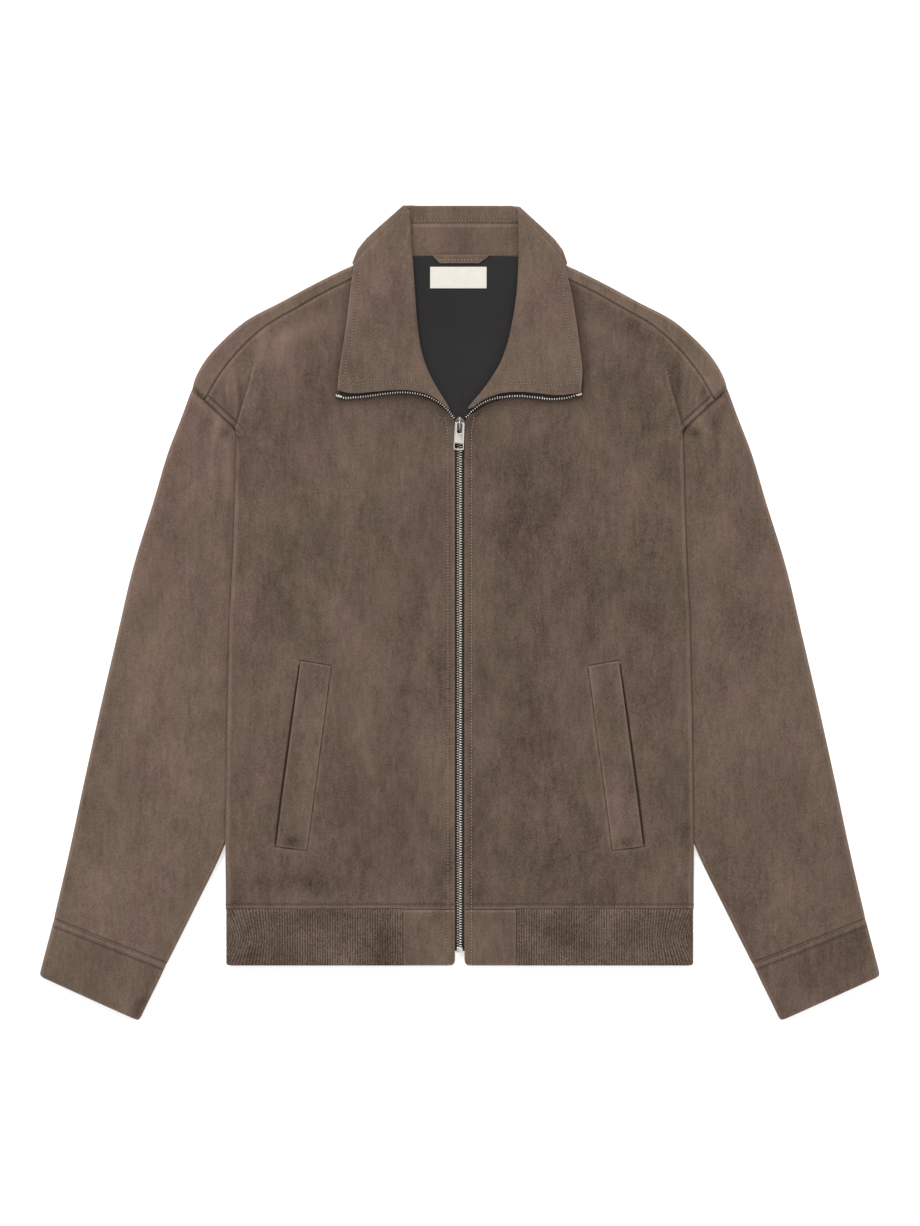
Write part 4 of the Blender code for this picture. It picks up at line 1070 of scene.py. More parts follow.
LEAF_SHARES = shares(80, pitch=2.6, wall=LEAF, high_edge=False)


def section(leaf, turn, leaf_levels, roll_level, turn_level):
    """Distances from the roll and levels, from the leaf's edge over the roll to the turn-in."""
    rise, middle = (roll_level - turn_level) / 2, (roll_level + turn_level) / 2
    reach = abs(rise)
    points = [(reach + (leaf - reach) * (1 - share), level)
              for share, level in zip(LEAF_SHARES, leaf_levels)][:-1]
    for angle in np.linspace(90, 270, ROLL_STEPS):
        turned = math.radians(angle)
        points.append((reach + reach * math.cos(turned), middle + rise * math.sin(turned)))
    return points + [(reach + (turn - reach) * share, turn_level) for share in (0.3, 0.6, 0.8, 0.93, 1.0)]


def leaf_line(row):
    roll, edge = np.array(row[:2]), np.array(row[2:4])
    leaf = np.linalg.norm(edge - roll)
    return roll, (edge - roll) / leaf, leaf


def collar_front(side):
    made = []
    for row, (turn, puff) in zip(COLLAR[side], LEAF_TURNS):
        roll, run, leaf = leaf_line(row)
        tape = TAPE_CLEAR * (1 - float(ramp(row[3], 219, 244)))
        levels = []
        for share in 1 - LEAF_SHARES:
            x, y = roll + run * leaf * share
            levels.append(float(front_top(x, y)) + LEAF_CLEAR + tape * (0.4 + 0.6 * share)
                          + puff * (1 - share) ** 1.5 + 0.7 * math.sin(math.pi * share))
        top = float(front_top(*roll))
        points = section(leaf, turn, levels, top + LEAF_CLEAR + 0.4 * tape + puff, top - FRONT_WALL / 2)
        made.append([((roll + run * d)[0] * side, (roll + run * d)[1], z) for d, z in points])
    return made


def collar_shoulder(side):
    """Sections round the shoulder; they bow outward, and their ends slide to the back's roll."""
    roll, run, leaf = leaf_line(COLLAR[side][-1])
    outward = np.array((-run[1], run[0]))
    level = SHOULDER_AXIS_Z - FALL_LEVEL
    first_turn = LEAF_TURNS[-1][0]
    made = []
    for angle in range(75, -91, -15):
        turned = math.radians(angle)
        turn = first_turn + (BACK_TURN + 1 - first_turn) * float(ramp(-angle, 20, 85))
        points = section(leaf, turn, [level] * len(LEAF_SHARES), level, TURN_REACH)
        slid, last = float(ramp(-angle, -90, 15)), 1 - math.cos(math.radians(min(angle, 0)))
        made.append([])
        for gap, reach in points:
            share = min(1.0, max(0.0, gap / leaf))
            bow = np.interp(share, *SHOULDER_BOW) if gap > 0 else 0
            x, y = (roll + run * gap + outward * (reach + bow) * math.cos(turned)
                    + np.array(ROLL_SLIDE[side]) * slid * (1 - share) + np.array(EDGE_SLIDE) * slid * share
                    + np.array(LAST_SLIDE[side]) * last * (1 - share) ** 2)
            made[-1].append((x * side, y, SHOULDER_AXIS_Z + reach * math.sin(turned)))
    return made


def neck_puff(x):
    return BACK_PUFF * (1 - ramp(np.abs(x - NECK_MIDDLE), 20, 52))


def collar_back():
    leaf = ROLL_Y - FALL_EDGE_Y
    made = []
    for x in BACK_ROLL_X:
        turn_level = SHOULDER_AXIS_Z - TURN_REACH + float(neck_puff(x))
        points = section(leaf, BACK_TURN, [FALL_LEVEL] * len(LEAF_SHARES), FALL_LEVEL, turn_level)
        made.append([(x * (1 + FALL_SPREAD * max(d, 0) / leaf), ROLL_Y - d, z) for d, z in points])
    return made


def smooth_rows(rows, steps):
    """Smooth surface through sections, sampled between each two of them."""
    rows = np.array(rows)
    slopes = np.gradient(rows, axis=0)
    t = np.linspace(0, 1, steps + 1)[:-1, None, None]
    made = [hermite(t, rows[i], rows[i + 1], slopes[i], slopes[i + 1]) for i in range(len(rows) - 1)]
    return np.concatenate(made + [rows[-1:]])


def eased(rows):
    """Rows smoothed along the collar beside its joints."""
    index = np.arange(1, len(rows) - 1)[:, None]
    weight = np.exp(-((index - COLLAR_JOINTS) / EASED_ROWS) ** 2).max(axis=1)[:, None, None]
    for _ in range(EASED_TIMES):
        rows[1:-1] += weight * (rows[:-2] + rows[2:] - 2 * rows[1:-1]) / 4
    return rows


def collar():
    """One wall from one front edge round the shoulders and the back of the neck to the other."""
    right, left = collar_front(-1), collar_front(1)
    lower_right, lower_left = (smooth_rows(half[:LEAF_POINT + 1], 6) for half in (right, left))
    middle = (right[LEAF_POINT:] + collar_shoulder(-1) + collar_back()
              + (left[LEAF_POINT:] + collar_shoulder(1))[::-1])
    rows = [lower_right[:-1], eased(smooth_rows(middle, 5)), lower_left[::-1][1:]]
    rows = with_close_ends(np.concatenate(rows), LEAF)
    rows[..., 2] += swell(rows[..., 0], rows[..., 1], 3.3, 0.3) * ramp(rows[..., 2], 8, 9)
    return cloth_piece("collar_suede", rows[::-1], "suede", "collar", (0.57, 0.19), "front_suede_left",
                       wall=LEAF, middle=True, sewn=COLLAR_STITCHES)


def with_close_ends(rows, wall):
    """Rows with a few more beside the first and the last, for rounded rims."""
    def near(first, second):
        gap = np.linalg.norm(second - first, axis=-1).mean()
        return [first + (second - first) * min(0.9, share * wall / gap) for share in (0.07, 0.25, 0.5)]
    start, stop = near(rows[0], rows[1]), near(rows[-1], rows[-2])[::-1]
    return np.concatenate([rows[:1], start, rows[1:-1], stop, rows[-1:]])


def band():
    """The strip between the collar's back seam and the neck seam."""
    top_y, low_y = ROLL_Y - BACK_TURN + 1.0, NECK_SEAM_Y
    u, v = shares(130), shares(30, pitch=2)
    plan = four_sided((-63, low_y), (69, low_y), (61, top_y), (-56, top_y), u, v)
    x, y = plan[..., 0], plan[..., 1]
    level = SHOULDER_AXIS_Z - TURN_REACH + 0.9 + neck_puff(x) + 0.5 * ramp(y, low_y, low_y + 6)
    level = level - 1.5 * ramp(y, top_y - 3.2, top_y)
    return cloth_piece("band_suede", np.dstack([x, y, level + swell(x, y, 1.2, 0.2)]), "suede",
                       "collar_band", (0.14, 0.04), "back_suede", wall=1.8)


# Neck

LINING_LEVEL = 1.4
LINING_WALL = 0.8
LINING_LOW_Y = 186.5
LINING_SIDE = ((0, 0.06, 0.22, 0.6, 1), (7, 14, 38, 64, 68))       # share of height, half width
LINING_CREASES = ((1.2, 190, 1.8, 240, 0, 1.1, 0.7), (-14, 200, -30, 300, 4, 6, 0.35),
                  (18, 205, 34, 310, -5, 7, 0.35), (2, 240, 4, 310, 1, 5, 0.3))


def lining():
    v, u = shares(160, pitch=2.4), shares(130, pitch=2.0)
    low, high = LINING_LOW_Y, NECK_SEAM_Y - 0.3
    right = np.stack([np.interp(v, *LINING_SIDE), low + (high - low) * v], axis=1)
    left = right * (-1, 1)
    plan = patch(*(at_shares([left[i], right[i]], u) for i in (0, -1)), left, right, u, v)
    x, y = plan[..., 0], plan[..., 1]
    level = back_top(x, y) + LINING_LEVEL + creases(x, y, LINING_CREASES)
    return cloth_piece("lining_twill", np.dstack([x, y, level]), "lining", "back_lining", (0.14, 0.16),
                       "back_suede", wall=LINING_WALL)


SMALLEST_CUT = 0.0102            # metres


def small_flat(name, corners, wall, lift, under, slot, node):
    """A small piece that lies on the lining: top left, top right, bottom right, bottom left."""
    top_left, top_right, low_right, low_left = np.array(corners, float)
    u, v = (shares(math.dist(top_left, end), pitch=2.0, wall=wall) for end in (top_right, low_left))
    plan = four_sided(low_left, low_right, top_right, top_left, u, v)
    level = [[drop(under, x, min(y, NECK_SEAM_Y - 1.5))[0].z / MM + lift + wall for x, y in row]
             for row in plan]
    size = tuple(np.maximum(np.ptp(plan.reshape(-1, 2), axis=0) * MM, SMALLEST_CUT))
    return cloth_piece(name, np.dstack([plan, level]), slot, node, size, "lining_twill", wall=wall)


HANGER = ((-27.5, 349.2), (30.5, 349.2), (19.0, 340.8), (-19.5, 340.8))
LABEL = ((-28.8, 337.4), (26.2, 337.4), (26.2, 316.4), (-28.8, 316.4))


# Pockets and hem

WELT = ((154.7, -46.1), (125.2, -51.4), (149.0, -230.8), (178.9, -227.0))
WELT_WALL = 1.4
WELT_LIFT = 0.55
WELT_LIP = 0.5             # how much further its open edge stands up


def inside_welt(x, y):
    """Distance within the welt's outline, negative outside."""
    corners = np.array(WELT)
    gaps = []
    for a, b in zip(corners, np.roll(corners, -1, axis=0)):
        run = unit(b - a)
        gaps.append((x - a[0]) * -run[1] + (y - a[1]) * run[0])
    return np.min(gaps, axis=0)


def welt(side):
    top_out, top_in, low_in, low_out = np.array(WELT)
    u, v = shares(30, pitch=1.8, wall=WELT_WALL), shares(181, pitch=2.6, wall=WELT_WALL)
    plan = four_sided(low_in, low_out, top_out, top_in, u, v)
    x, y = plan[..., 0], plan[..., 1]
    lips = WELT_LIP * ramp(u, 0.55, 0.95)[None, :] * np.sin(np.pi * v)[:, None] ** 0.6
    level = front_plain(x, y, side) + WELT_LIFT + lips
    return cloth_piece(f"welt_suede_{hand(side)}", mirrored(np.dstack([x, y, level]), side), "suede",
                       f"pocket_welt_{hand(side)}", (0.031, 0.186), f"front_suede_{hand(side)}",
                       wall=WELT_WALL)


TAB_CORNER = 5.0
TAB_WALL = 2.0


def hem_tab(side):
    """A tab with its lower front corner rounded."""
    low, high, outer = HEM_Y, HEM_SEAM_Y + 1.2, TAB_EDGE - 0.3
    bend = [(FRONT_EDGE + TAB_CORNER * (1 - math.sin(a)), low + TAB_CORNER * (1 - math.cos(a)))
            for a in np.linspace(0, math.pi / 2, 9)]
    u, v = shares(51, pitch=2.4, wall=TAB_WALL), shares(55, pitch=2.4, wall=TAB_WALL)
    plan = spanned(bend[4::-1] + [(outer, low)], ((FRONT_EDGE, high), (outer, high)),
                   bend[4:] + [(FRONT_EDGE, high)], ((outer, low), (outer, high)), u, v)
    x, y = plan[..., 0], plan[..., 1]
    stitch = [[(EDGE_STITCH, low), (EDGE_STITCH, high)]]
    level = front_top(0, 0) + swell(x, y, 4.4 * side, 0.15) - sunk(x, y, stitch)
    level = level - 1.5 * ramp(y, HEM_SEAM_Y - 1.6, HEM_SEAM_Y + 0.2)
    return cloth_piece(f"hem_tab_suede_{hand(side)}", mirrored(np.dstack([x, y, level]), side), "suede",
                       f"hem_tab_{hand(side)}", (0.051, 0.056), f"zip_tape_{hand(side)}", wall=TAB_WALL)


RIB_COUNT = 72             # on one half of the front, and as many behind
RIB_POINTS = 6
RIB_LEVEL = 7.7
RIB_RISE = 0.5
RIB_WALL = 2.2
RIB_BOW = 15.0             # how far the ribs' ends bow round the fold
BOW_FRONT, BOW_BEHIND = 32, 60        # and how far from the fold they do
RIB_HELD = 12              # the ribs stay straight beside the tab
RIB_CORNER = 1.4
RIB_EASE = 0.6             # how far the knit stands out past the solid's side
RIB_DIP = 1.9              # how far its sewn edges are drawn down
HEM_BACK_RISE = 14.0       # how much higher the band hangs at the middle of the back


def rib_section(reach, level):
    """Points at distances from the fold: over the top (negative), round it, and back beneath."""
    radius = level / 2
    quarter = math.pi * radius / 2
    turned = np.clip(reach / radius, -math.pi / 2, math.pi / 2)
    beyond = np.maximum(np.abs(reach) - quarter, 0)
    return radius * np.cos(turned) - beyond - radius, radius * (1 - np.sin(turned))


def hem_rib():
    """The knitted band from tab to tab round the back; its ribs bow beside the side folds."""
    start = TAB_EDGE - 1.0
    quarter = math.pi * RIB_LEVEL / 4
    front = HEM_HALF + RIB_EASE - RIB_LEVEL / 2 - start + quarter
    behind = HEM_HALF - RIB_LEVEL / 2 + quarter
    pitch = front / RIB_COUNT
    steps = RIB_COUNT * RIB_POINTS
    spots = np.concatenate([np.linspace(-front, 0, steps + 1),
                            np.linspace(0, behind, round(behind / pitch) * RIB_POINTS + 1)[1:]])
    knit_wave = 0.5 + 0.5 * np.cos(2 * math.pi * spots / pitch)
    v = shares(55, pitch=2.2, wall=RIB_WALL)
    y = HEM_Y + (HEM_SEAM_Y + 1.2 - HEM_Y) * v
    half, plain = [], []
    for share, at_y in zip(v, y):
        held = ramp(spots, -front, -front + RIB_HELD) * (1 - ramp(spots, behind - BOW_BEHIND, behind))
        bow = RIB_BOW * (math.hypot(2 * share - 1, 0.15) - 0.01) * held
        reach = spots + bow * np.exp(-(spots / np.where(spots < 0, BOW_FRONT, BOW_BEHIND)) ** 2)
        across, level = rib_section(reach, RIB_LEVEL)
        corner = RIB_CORNER * max(0.0, 1 - (at_y - HEM_Y) / 3) ** 2
        over = np.clip(-reach / quarter, -1, 1)
        rise = RIB_RISE * (knit_wave - 1) * ramp(spots, -front + 0.6, -front + 2)
        x = HEM_HALF + RIB_EASE + across - corner * ramp(across, -9, 0)
        spot_y = np.full_like(x, at_y)
        seam_dip = RIB_DIP * float(ramp(at_y, HEM_SEAM_Y - 2.4, HEM_SEAM_Y)) * np.clip(over, 0, 1)
        soft = (swell(x, spot_y, 1.9, 0.25) - 0.12) * ramp(-reach, quarter, quarter + 14)
        raised = HEM_BACK_RISE * (1 - ramp(np.abs(x), 16, 50)) * (reach > 0) * (1 - share)
        seam_dip = np.maximum(seam_dip, RIB_DIP * (1 - ramp(spots, -front, -front + 2.6)))
        smooth_face = np.column_stack([x, spot_y + raised, level + soft - seam_dip])
        ribs = np.column_stack([rise * (1 - np.abs(over)) * 0.5, 0 * x, rise * over])
        plain.append(smooth_face)
        half.append(smooth_face + ribs)
    plain, whole = (np.concatenate([grid, (grid[:, ::-1] * (-1, 1, 1))[:, 1:]], axis=1)
                    for grid in (np.array(plain), np.array(half)))
    whole[..., 2] = np.maximum(whole[..., 2], 0)
    knit_wave = np.concatenate([knit_wave, knit_wave[::-1][1:]])
    return cloth_piece("rib_knit", whole, "rib", "hem_rib", (1.06, 0.057), "floor", wall=RIB_WALL,
                       lowest=HEM_Y, guide=plain, knit=np.tile(knit_wave, (len(v), 1)))


# Zip

STITCH_PITCH = 3.0
STITCH_STEP = 1.2                # between the points where a row of sewing is laid on the cloth
STITCH_LIFT = 0.1
ZIP_PITCH = 2.42
CLOSED_TEETH_Y = (-326.4, 181.8)
OPEN_TEETH_Y = 190.5
OPEN_TEETH_LENGTH = 0.68         # a share of the closed ones
TOOTH_CHAMFER = 0.2
TAPE_WALL = 0.7
TAPE_Z = 3.1
COLLAR_TEETH = {
    # line of the teeth from the slider to the top stop
    1: ((2.2, 187.5), (6.0, 190.8), (12.0, 196.2), (19.4, 202.6), (29.0, 207.4), (41.2, 209.9),
        (58.8, 211.1), (73.0, 209.8), (88.0, 208.1), (103.0, 209.2), (116.0, 213.0)),
    -1: ((2.2, 187.5), (6.5, 191.6), (15.5, 201.1), (27.0, 208.9), (39.9, 213.2), (52.9, 214.8),
         (70.4, 213.7), (89.4, 211.1), (103.0, 209.6), (114.8, 209.8), (117.6, 211.4)),
}
COLLAR_TAPE_LIFT = 1.7           # middle of the tape above the front
ZIP_FOOT_Y, SLIDER_Y, TURNED_Y = -327.0, 184.0, 200      # between the last two the tape turns over
TURNED_ROWS = 40                 # it is turned over from that many points past the slider at the latest
PATH_STEP = 3.0
CLOSED_ROWS = 170                # the path's points up to there are thinned out more
TAPE_COLUMNS = np.array((0, 0.3, 1.2, 4, 8, 12))


def teeth_path(side):
    """Points of the teeth from the hem to the top stop, and the direction in which they point."""
    closed = np.array([(0.55, y) for y in np.arange(ZIP_FOOT_Y, SLIDER_Y, PATH_STEP)])
    line = np.concatenate([closed, smooth(COLLAR_TEETH[side], fine=10)])
    open_share = ramp(line[:, 1], SLIDER_Y, TURNED_Y)
    open_share = np.maximum(open_share, np.arange(len(line)) > len(closed) + TURNED_ROWS)
    turned = open_share * math.pi
    along_line = unit(np.gradient(line, axis=0))
    inward = np.stack([-along_line[:, 1], along_line[:, 0]], axis=1)
    level = TAPE_Z + (front_top(line[:, 0], line[:, 1]) + COLLAR_TAPE_LIFT - TAPE_Z) * open_share
    facing = np.column_stack([inward * np.cos(turned)[:, None], np.sin(turned)])
    points = np.column_stack([line, level])
    return points * (side, 1, 1), facing * (side, 1, 1)


TAPE_REACH = ((2, 5, 14, 26, 44), (0.4, 0.14, 0.22, 0.5, 1.0))   # distance from the middle, share of width


def zip_tape(side):
    """The tape from the hem to the slider, turned over there and sewn along the collar's edge."""
    points, facing = teeth_path(side)
    last = len(points) - 1
    closed, later = np.arange(0, CLOSED_ROWS, 3), np.arange(CLOSED_ROWS - 2, last, 2)
    keep = np.unique(np.concatenate([closed, later, [last]]))
    points, facing = points[keep], facing[keep]
    narrow = np.where(points[:, 1] > SLIDER_Y, np.interp(np.abs(points[:, 0]), *TAPE_REACH), 1.0)
    grid = points[:, None] - facing[:, None] * (TAPE_COLUMNS[None, :, None] * narrow[:, None, None])
    if side < 0:
        grid = grid[:, ::-1]
    return cloth_piece(f"zip_tape_{hand(side)}_weave", grid, "zip_tape", f"zip_tape_{hand(side)}",
                       (0.012, 0.66), "back_suede", wall=TAPE_WALL, middle=True)


# What repeats along a path

def set_along():
    """A node tree that sets copies of an item along a path, turned to its facing."""
    tree = bpy.data.node_groups.new("set_along_path", "GeometryNodeTree")
    for name, kind, way in (("Path", "Geometry", "INPUT"), ("Item", "Object", "INPUT"),
                            ("Pitch", "Float", "INPUT"), ("Set", "Geometry", "OUTPUT")):
        tree.interface.new_socket(name, in_out=way, socket_type="NodeSocket" + kind)
    nodes = {name: tree.nodes.new(kind) for name, kind in (
        ("given", "NodeGroupInput"), ("result", "NodeGroupOutput"), ("curve", "GeometryNodeMeshToCurve"),
        ("resample", "GeometryNodeResampleCurve"), ("tangent", "GeometryNodeInputTangent"),
        ("facing", "GeometryNodeInputNamedAttribute"), ("keep", "GeometryNodeCaptureAttribute"),
        ("turn", "FunctionNodeAxesToRotation"), ("item", "GeometryNodeObjectInfo"),
        ("copies", "GeometryNodeInstanceOnPoints"), ("real", "GeometryNodeRealizeInstances"))}
    nodes["resample"].mode = "LENGTH"
    nodes["facing"].data_type = "FLOAT_VECTOR"
    nodes["facing"].inputs["Name"].default_value = "facing"
    nodes["keep"].capture_items.new("VECTOR", "along")
    nodes["turn"].primary_axis, nodes["turn"].secondary_axis = "X", "Z"
    for source, output, target, socket in (
            ("given", "Path", "curve", 0), ("curve", 0, "resample", "Curve"),
            ("given", "Pitch", "resample", "Length"), ("resample", 0, "keep", "Geometry"),
            ("tangent", 0, "keep", "along"), ("keep", "along", "turn", "Primary Axis"),
            ("facing", "Attribute", "turn", "Secondary Axis"), ("given", "Item", "item", "Object"),
            ("keep", "Geometry", "copies", "Points"), ("item", "Geometry", "copies", "Instance"),
            ("turn", 0, "copies", "Rotation"), ("copies", 0, "real", 0), ("real", 0, "result", 0)):
        tree.links.new(nodes[source].outputs[output], nodes[target].inputs[socket])
    return tree


def row_of(name, item, lines, facings, pitch, finish):
    """One mesh of items set along lines; the item's X follows the line and its Z the facing."""
    edges, start = [], 0
    for line in lines:
        edges += [(i, i + 1) for i in range(start, start + len(line) - 1)]
        start += len(line)
    path = bpy.data.meshes.new(name + "_path")
    path.from_pydata((np.concatenate(lines) * MM).tolist(), edges, [])
    mark(path, "facing", np.concatenate(facings))
    holder = placed(name + "_path", path)
    run = holder.modifiers.new("set", "NODES")
    run.node_group = SET_ALONG
    for socket in SET_ALONG.interface.items_tree:
        if socket.name in ("Item", "Pitch"):
            run[socket.identifier] = item if socket.name == "Item" else pitch * MM
    mesh = mesh_of(holder)
    mesh.name = name
    mesh.shade_smooth()
    finished(placed(name, mesh), finish)


def stitch_item():
    """One stitch of thread: its ends dive into the cloth."""
    rings = ((-0.85, -0.4, 0.2), (-0.6, 0.05, 0.38), (0, 0.16, 0.46), (0.6, 0.05, 0.38), (0.85, -0.4, 0.2))
    return lofted("stitch_item", [[(x, r * math.cos(a), z + r * 0.8 * math.sin(a)) for a in around(6)]
                                  for x, z, r in rings])


def tooth_item(side, length):
    """A zip tooth: X along the tape's edge, Y out of it to the other row, Z up."""
    sections = ((-2.3, 0.3, 0.7), (-2.05, 0.46, 1.0), (-0.9, 0.46, 1.05), (0.0, 0.38, 0.95), (0.6, 0.44, 0.9),
                (0.9, 0.28, 0.6))
    rings = []
    for out, half, high in sections:
        a, b = half - TOOTH_CHAMFER, high - TOOTH_CHAMFER
        outline = ((half, b), (a, high), (-a, high), (-half, b))
        outline += tuple((-x, -z) for x, z in outline)
        rings.append([(x * side, out * length * side, z) for x, z in outline])
    return lofted(f"tooth_item_{hand(side)}", rings)


def on_cloth(piece, line):
    """A plan line laid on a piece's upper face, with the face's directions."""
    tree = upper_face(piece)
    length = run_along(np.asarray(line, float))[-1]
    points, facings = [], []
    for x, y in at_shares(line, np.linspace(0, 1, max(2, round(length / STITCH_STEP)))):
        spot, normal = drop(tree, x, y)
        if spot is not None:
            points.append((x, y, spot.z / MM + STITCH_LIFT))
            facings.append(tuple(normal))
    return np.array(points), np.array(facings)


def topstitch(name, rows, finish):
    """Topstitching in one thread, from pairs of a piece and a line on it."""
    points, facings = zip(*(on_cloth(piece, line) for piece, line in rows))
    row_of(name, STITCH, points, facings, STITCH_PITCH, finish)


def flipped(line, side):
    return [(x * side, y) for x, y in line]


def teeth(side):
    """A row of teeth: the closed part to the slider, and the open part to the top stop."""
    points, facing = teeth_path(side)
    shift = (0.5 - side / 2) * ZIP_PITCH / 2
    closed = np.array([(-0.34 + 0.5 * side, y + shift, TAPE_Z + 0.15 * side) for y in CLOSED_TEETH_Y])
    up = np.array([(0, 0, 1.0)] * 2)
    above = points[:, 1] > OPEN_TEETH_Y
    open_part = points[above]
    normals = np.cross(unit(np.gradient(open_part, axis=0)), facing[above]) * side
    for name, length, line, facings, finish in (
            # the closed teeth at -X are darker nickel, painted shade; the open teeth lighter nickel, a
            # painted highlight
            ("zip_teeth", 1.0, closed, up, TEETH_FINISH if side > 0 else SHADED_NICKEL_FINISH),
            ("zip_teeth_open", OPEN_TEETH_LENGTH, open_part, normals, HIGHLIT_TEETH_FINISH)):
        item = tooth_item(side, length)
        row_of(f"{name}_{hand(side)}", item, [line], [facings], ZIP_PITCH, finish)
        bpy.data.objects.remove(item)


# Metal parts

PULL_Y, PULL_Z = 184.0, 9.0       # the hinge
PULL_TILT, PULL_LEAN = 3.2, -2.6  # degrees


def corners_of(half, high, low, half_low=None):
    """Corners of a shape that is even about the middle: two at one level and two at the other."""
    half_low = half if half_low is None else half_low
    return (-half, high), (half, high), (half_low, low), (-half_low, low)


def rounded(corners, radius, steps=5):
    """A closed outline with rounded corners; a radius may be given for each corner."""
    corners = np.array(corners, float)
    radii = np.broadcast_to(radius, len(corners))
    line = []
    for i, corner in enumerate(corners):
        before, after = unit(corners[i - 1] - corner), unit(corners[(i + 1) % len(corners)] - corner)
        for t in np.linspace(0, 1, steps):
            start, end = corner + before * radii[i], corner + after * radii[i]
            line.append(tuple((1 - t) ** 2 * start + 2 * t * (1 - t) * corner + t * t * end))
    return line


def plate(name, outlines, low, high, bevel, finish, replaced=None, body=JACKET, turn=None):
    """A metal plate with bevelled edges: an outline and its holes, between two levels."""
    curve = bpy.data.curves.new(name, "CURVE")
    curve.dimensions = "2D"
    curve.fill_mode = "BOTH"
    curve.extrude = ((high - low) / 2 - bevel) * MM
    curve.bevel_depth = bevel * MM
    curve.bevel_resolution = 2
    curve.offset = -bevel * MM
    for outline in outlines:
        spline = curve.splines.new("POLY")
        spline.points.add(len(outline) - 1)
        spline.use_cyclic_u = True
        for point, (x, y) in zip(spline.points, outline):
            point.co = (x * MM, y * MM, 0, 1)
    mesh = mesh_of(placed(name + "_outline", curve))
    mesh.name = name
    mesh.transform(Matrix.Translation((0, 0, (low + high) / 2 * MM)))
    if turn:
        mesh.transform(turn)
    cleaned(mesh, weld=0.001, outward=True)
    mesh.shade_smooth()
    mesh.set_sharp_from_angle(angle=math.radians(50))
    finished(placed(name, mesh), finish, replaced, body)


def pull_tab():
    """The tab: a plate with a round-ended slot for the bridge, a bar and a window."""
    turn = (Matrix.Translation((0, PULL_Y * MM, PULL_Z * MM))
            @ Matrix.Rotation(math.radians(PULL_TILT), 4, "X")
            @ Matrix.Rotation(math.radians(PULL_LEAN), 4, "Z"))
    outline = rounded(corners_of(4.75, 1.8, -25.0, half_low=5.1), (1.2, 1.2, 1.6, 1.6))
    slot = rounded(corners_of(2.4, 0.9, -8.9), (0.7, 0.7, 2.2, 2.2))
    window = rounded(corners_of(3.9, -18.7, -23.6), 0.6)
    plate("pull_tab_plate", [outline, slot, window], -0.72, 0.72, 0.28, NICKEL_FINISH, "pull_tab", PULL, turn)
    bar = rounded(corners_of(4.4, -16.6, -18.1), 0.5)
    plate("pull_tab_bar", [bar], 0.55, 1.05, 0.22, NICKEL_FINISH, None, PULL, turn)


def slider():
    """The slider: two wings, a crown at the top and the bridge that the tab hangs on."""
    wings = rounded(((-4.6, 178.6), (-3.4, 177.6), (3.4, 177.6), (4.6, 178.6), (4.9, 187.6), (2.2, 190.6),
                     (0, 188.9), (-2.2, 190.6), (-4.9, 187.6)), 0.7)
    # the slider, its crown and bridge are darker nickel: painted shade
    plate("slider_top", [wings], 5.2, 7.0, 0.5, SHADED_SLIDER_FINISH, "zip_slider")
    plate("slider_base", [wings], 3.8, 4.9, 0.3, SHADED_SLIDER_FINISH)
    crown = rounded(corners_of(1.7, 187.4, 190.9, half_low=1.2), 0.7)
    plate("slider_crown", [crown], 6.8, 8.4, 0.5, SHADED_NICKEL_FINISH)
    rings = []
    for y in np.linspace(178.2, 189.0, 15):
        z = 6.55 + 3.7 * max(0.0, 1 - ((y - 183.6) / 5.4) ** 2) ** 0.5
        rings.append([(0.85 * math.cos(a), y + 0.1 * math.sin(a), z + 0.5 * math.sin(a)) for a in around(8)])
    bridge = lofted("slider_bridge", rings)
    finished(bridge, SHADED_NICKEL_FINISH)


def zip_ends():
    """The box at the foot of the zip and the stops at its tops."""
    box = rounded(corners_of(3.0, -330.4, -325.4), 0.9)
    plate("zip_box_metal", [box], 3.8, 6.0, 0.6, NICKEL_FINISH, "zip_box")
    for side in (1, -1):
        points, _ = teeth_path(side)
        end, before = points[-1], points[-12]
        run = unit((end - before)[:2])
        aside = np.array((-run[1], run[0]))
        middle = end[:2] + run * 0.5
        corners = [middle + run * a + aside * b for a, b in corners_of(2.6, -1.2, 1.2)]
        plate(f"zip_stop_metal_{hand(side)}", [rounded(corners, 0.8)], end[2] - 0.9, end[2] + 1.5, 0.5,
              NICKEL_FINISH, f"zip_stop_{hand(side)}")


# Studio

FLOOR_SIZE, FLOOR_Z = 30, -0.0005
LENS, SENSOR = 160, 36
VIEW_HEIGHT = 1226 * 0.975      # millimetres from the frame's foot to its top
CAMERA_ASIDE = 0.0003
SKY = 0.62
LAMPS = (("key", (-0.30, 1.0, 0.86), 26, 2.1), ("fill", (0.7, -0.5, 1.6), 60, 0.5))   # angle, strength


def floor():
    bpy.ops.mesh.primitive_plane_add(size=FLOOR_SIZE, location=(0, 0, FLOOR_Z))
    ground = bpy.context.object
    ground.name = "floor"
    pale = Graph("pale_floor")
    pale.set(base_color=(0.8, 0.8, 0.8, 1), roughness=0.9, emission_color=(1, 1, 1, 1), emission_strength=0.5)
    ground.data.materials.append(pale.made)


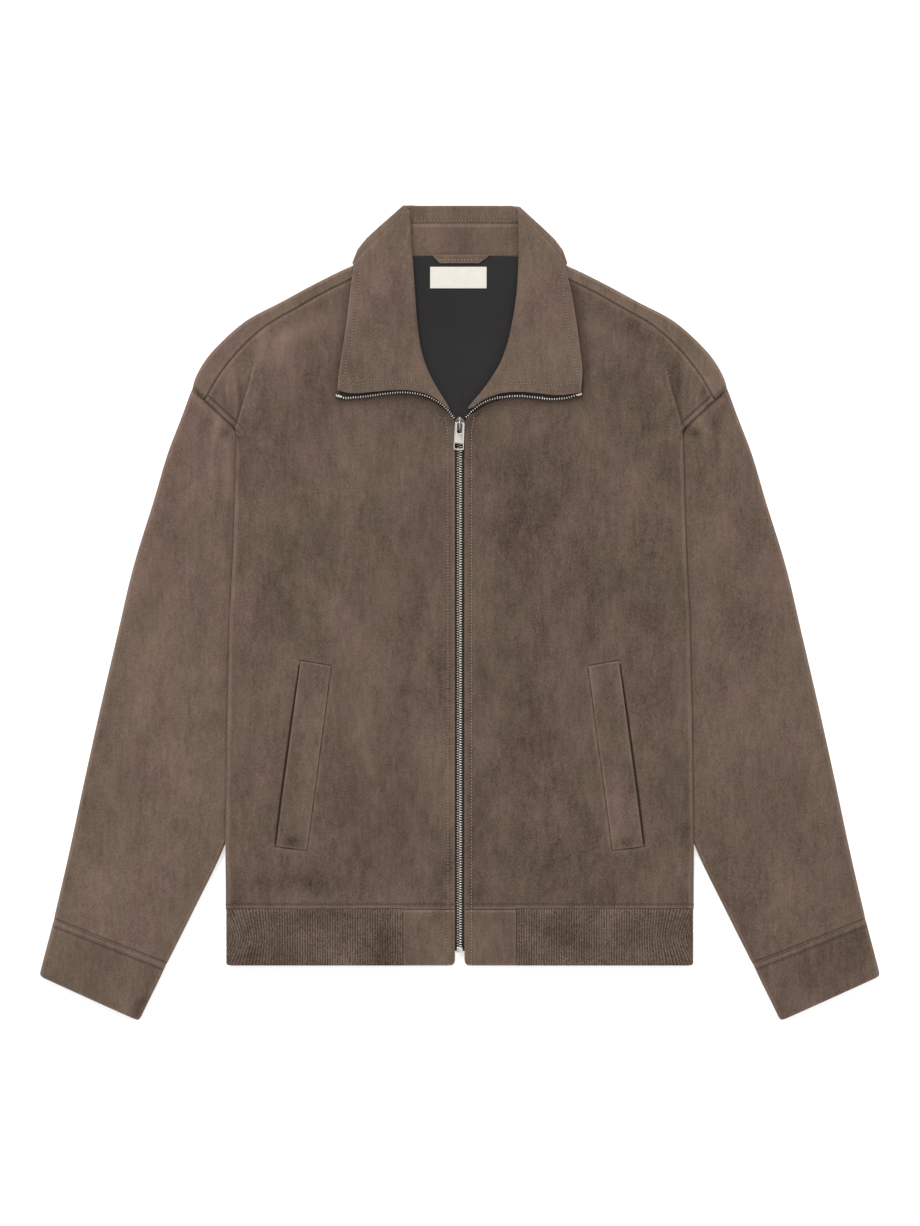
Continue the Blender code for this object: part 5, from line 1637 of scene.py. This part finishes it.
def camera():
    lens = bpy.data.cameras.new("camera")
    lens.lens, lens.sensor_width = LENS, SENSOR
    lens.clip_end = 100
    eye = placed("camera", lens)
    eye.location = (CAMERA_ASIDE, CAMERA_ASIDE, VIEW_HEIGHT * MM * LENS / SENSOR)
    bpy.context.scene.camera = eye


def light():
    world = bpy.data.worlds.new("studio")
    world.use_nodes = True
    inputs = world.node_tree.nodes["Background"].inputs
    inputs["Color"].default_value = (1, 1, 1, 1)
    inputs["Strength"].default_value = SKY
    bpy.context.scene.world = world
    for name, place, spread, strength in LAMPS:
        lamp = bpy.data.lights.new(name, "SUN")
        lamp.angle = math.radians(spread)
        lamp.energy = strength
        made = placed(name, lamp)
        made.location = place
        made.rotation_euler = Vector(place).to_track_quat("Z", "Y").to_euler()


# The whole jacket

SET_ALONG = set_along()
STITCH = stitch_item()

sewn_rows, pale_rows = [], []
for side in (1, -1):
    cloth = front(side)
    edge, hem, armhole = front_stitches()
    pale_rows += [(cloth, flipped(edge[:5], side))]
    sewn_rows += [(cloth, flipped(line, side)) for line in (hem, armhole)]
    sleeve(side)
    cloth = cuff(side)
    sewn_rows += [(cloth, flipped(cuff_seam(offset), side)) for offset in CUFF_ROWS]
    welt(side)
    cloth = hem_tab(side)
    pale_rows += [(cloth, flipped(((EDGE_STITCH, HEM_Y + 1.5), (EDGE_STITCH, HEM_SEAM_Y - 2)), side))]
    zip_tape(side)
    teeth(side)
back()
cloth = collar()
pale_rows += [(cloth, line) for line in COLLAR_STITCHES]
cloth = band()
pale_rows += [(cloth, ((-44, 376.9), (46, 376.9)))]
neck = upper_face(lining())
cloth = small_flat("hanger_suede", HANGER, 1.2, 0.3, neck, "suede", "hanger_tab")
pale_rows += [(cloth, ((-20.5, 344.0), (21.0, 344.0)))]
small_flat("label_weave", LABEL, 0.7, 0.2, neck, "label", "label")
hem_rib()
topstitch("topstitching", sewn_rows, DEEP_THREAD_FINISH)
topstitch("pale_topstitching", pale_rows, THREAD_FINISH)
bpy.data.objects.remove(STITCH)
pull_tab()
slider()
zip_ends()
floor()
camera()
light()
bpy.context.scene.view_settings.view_transform = "Standard"
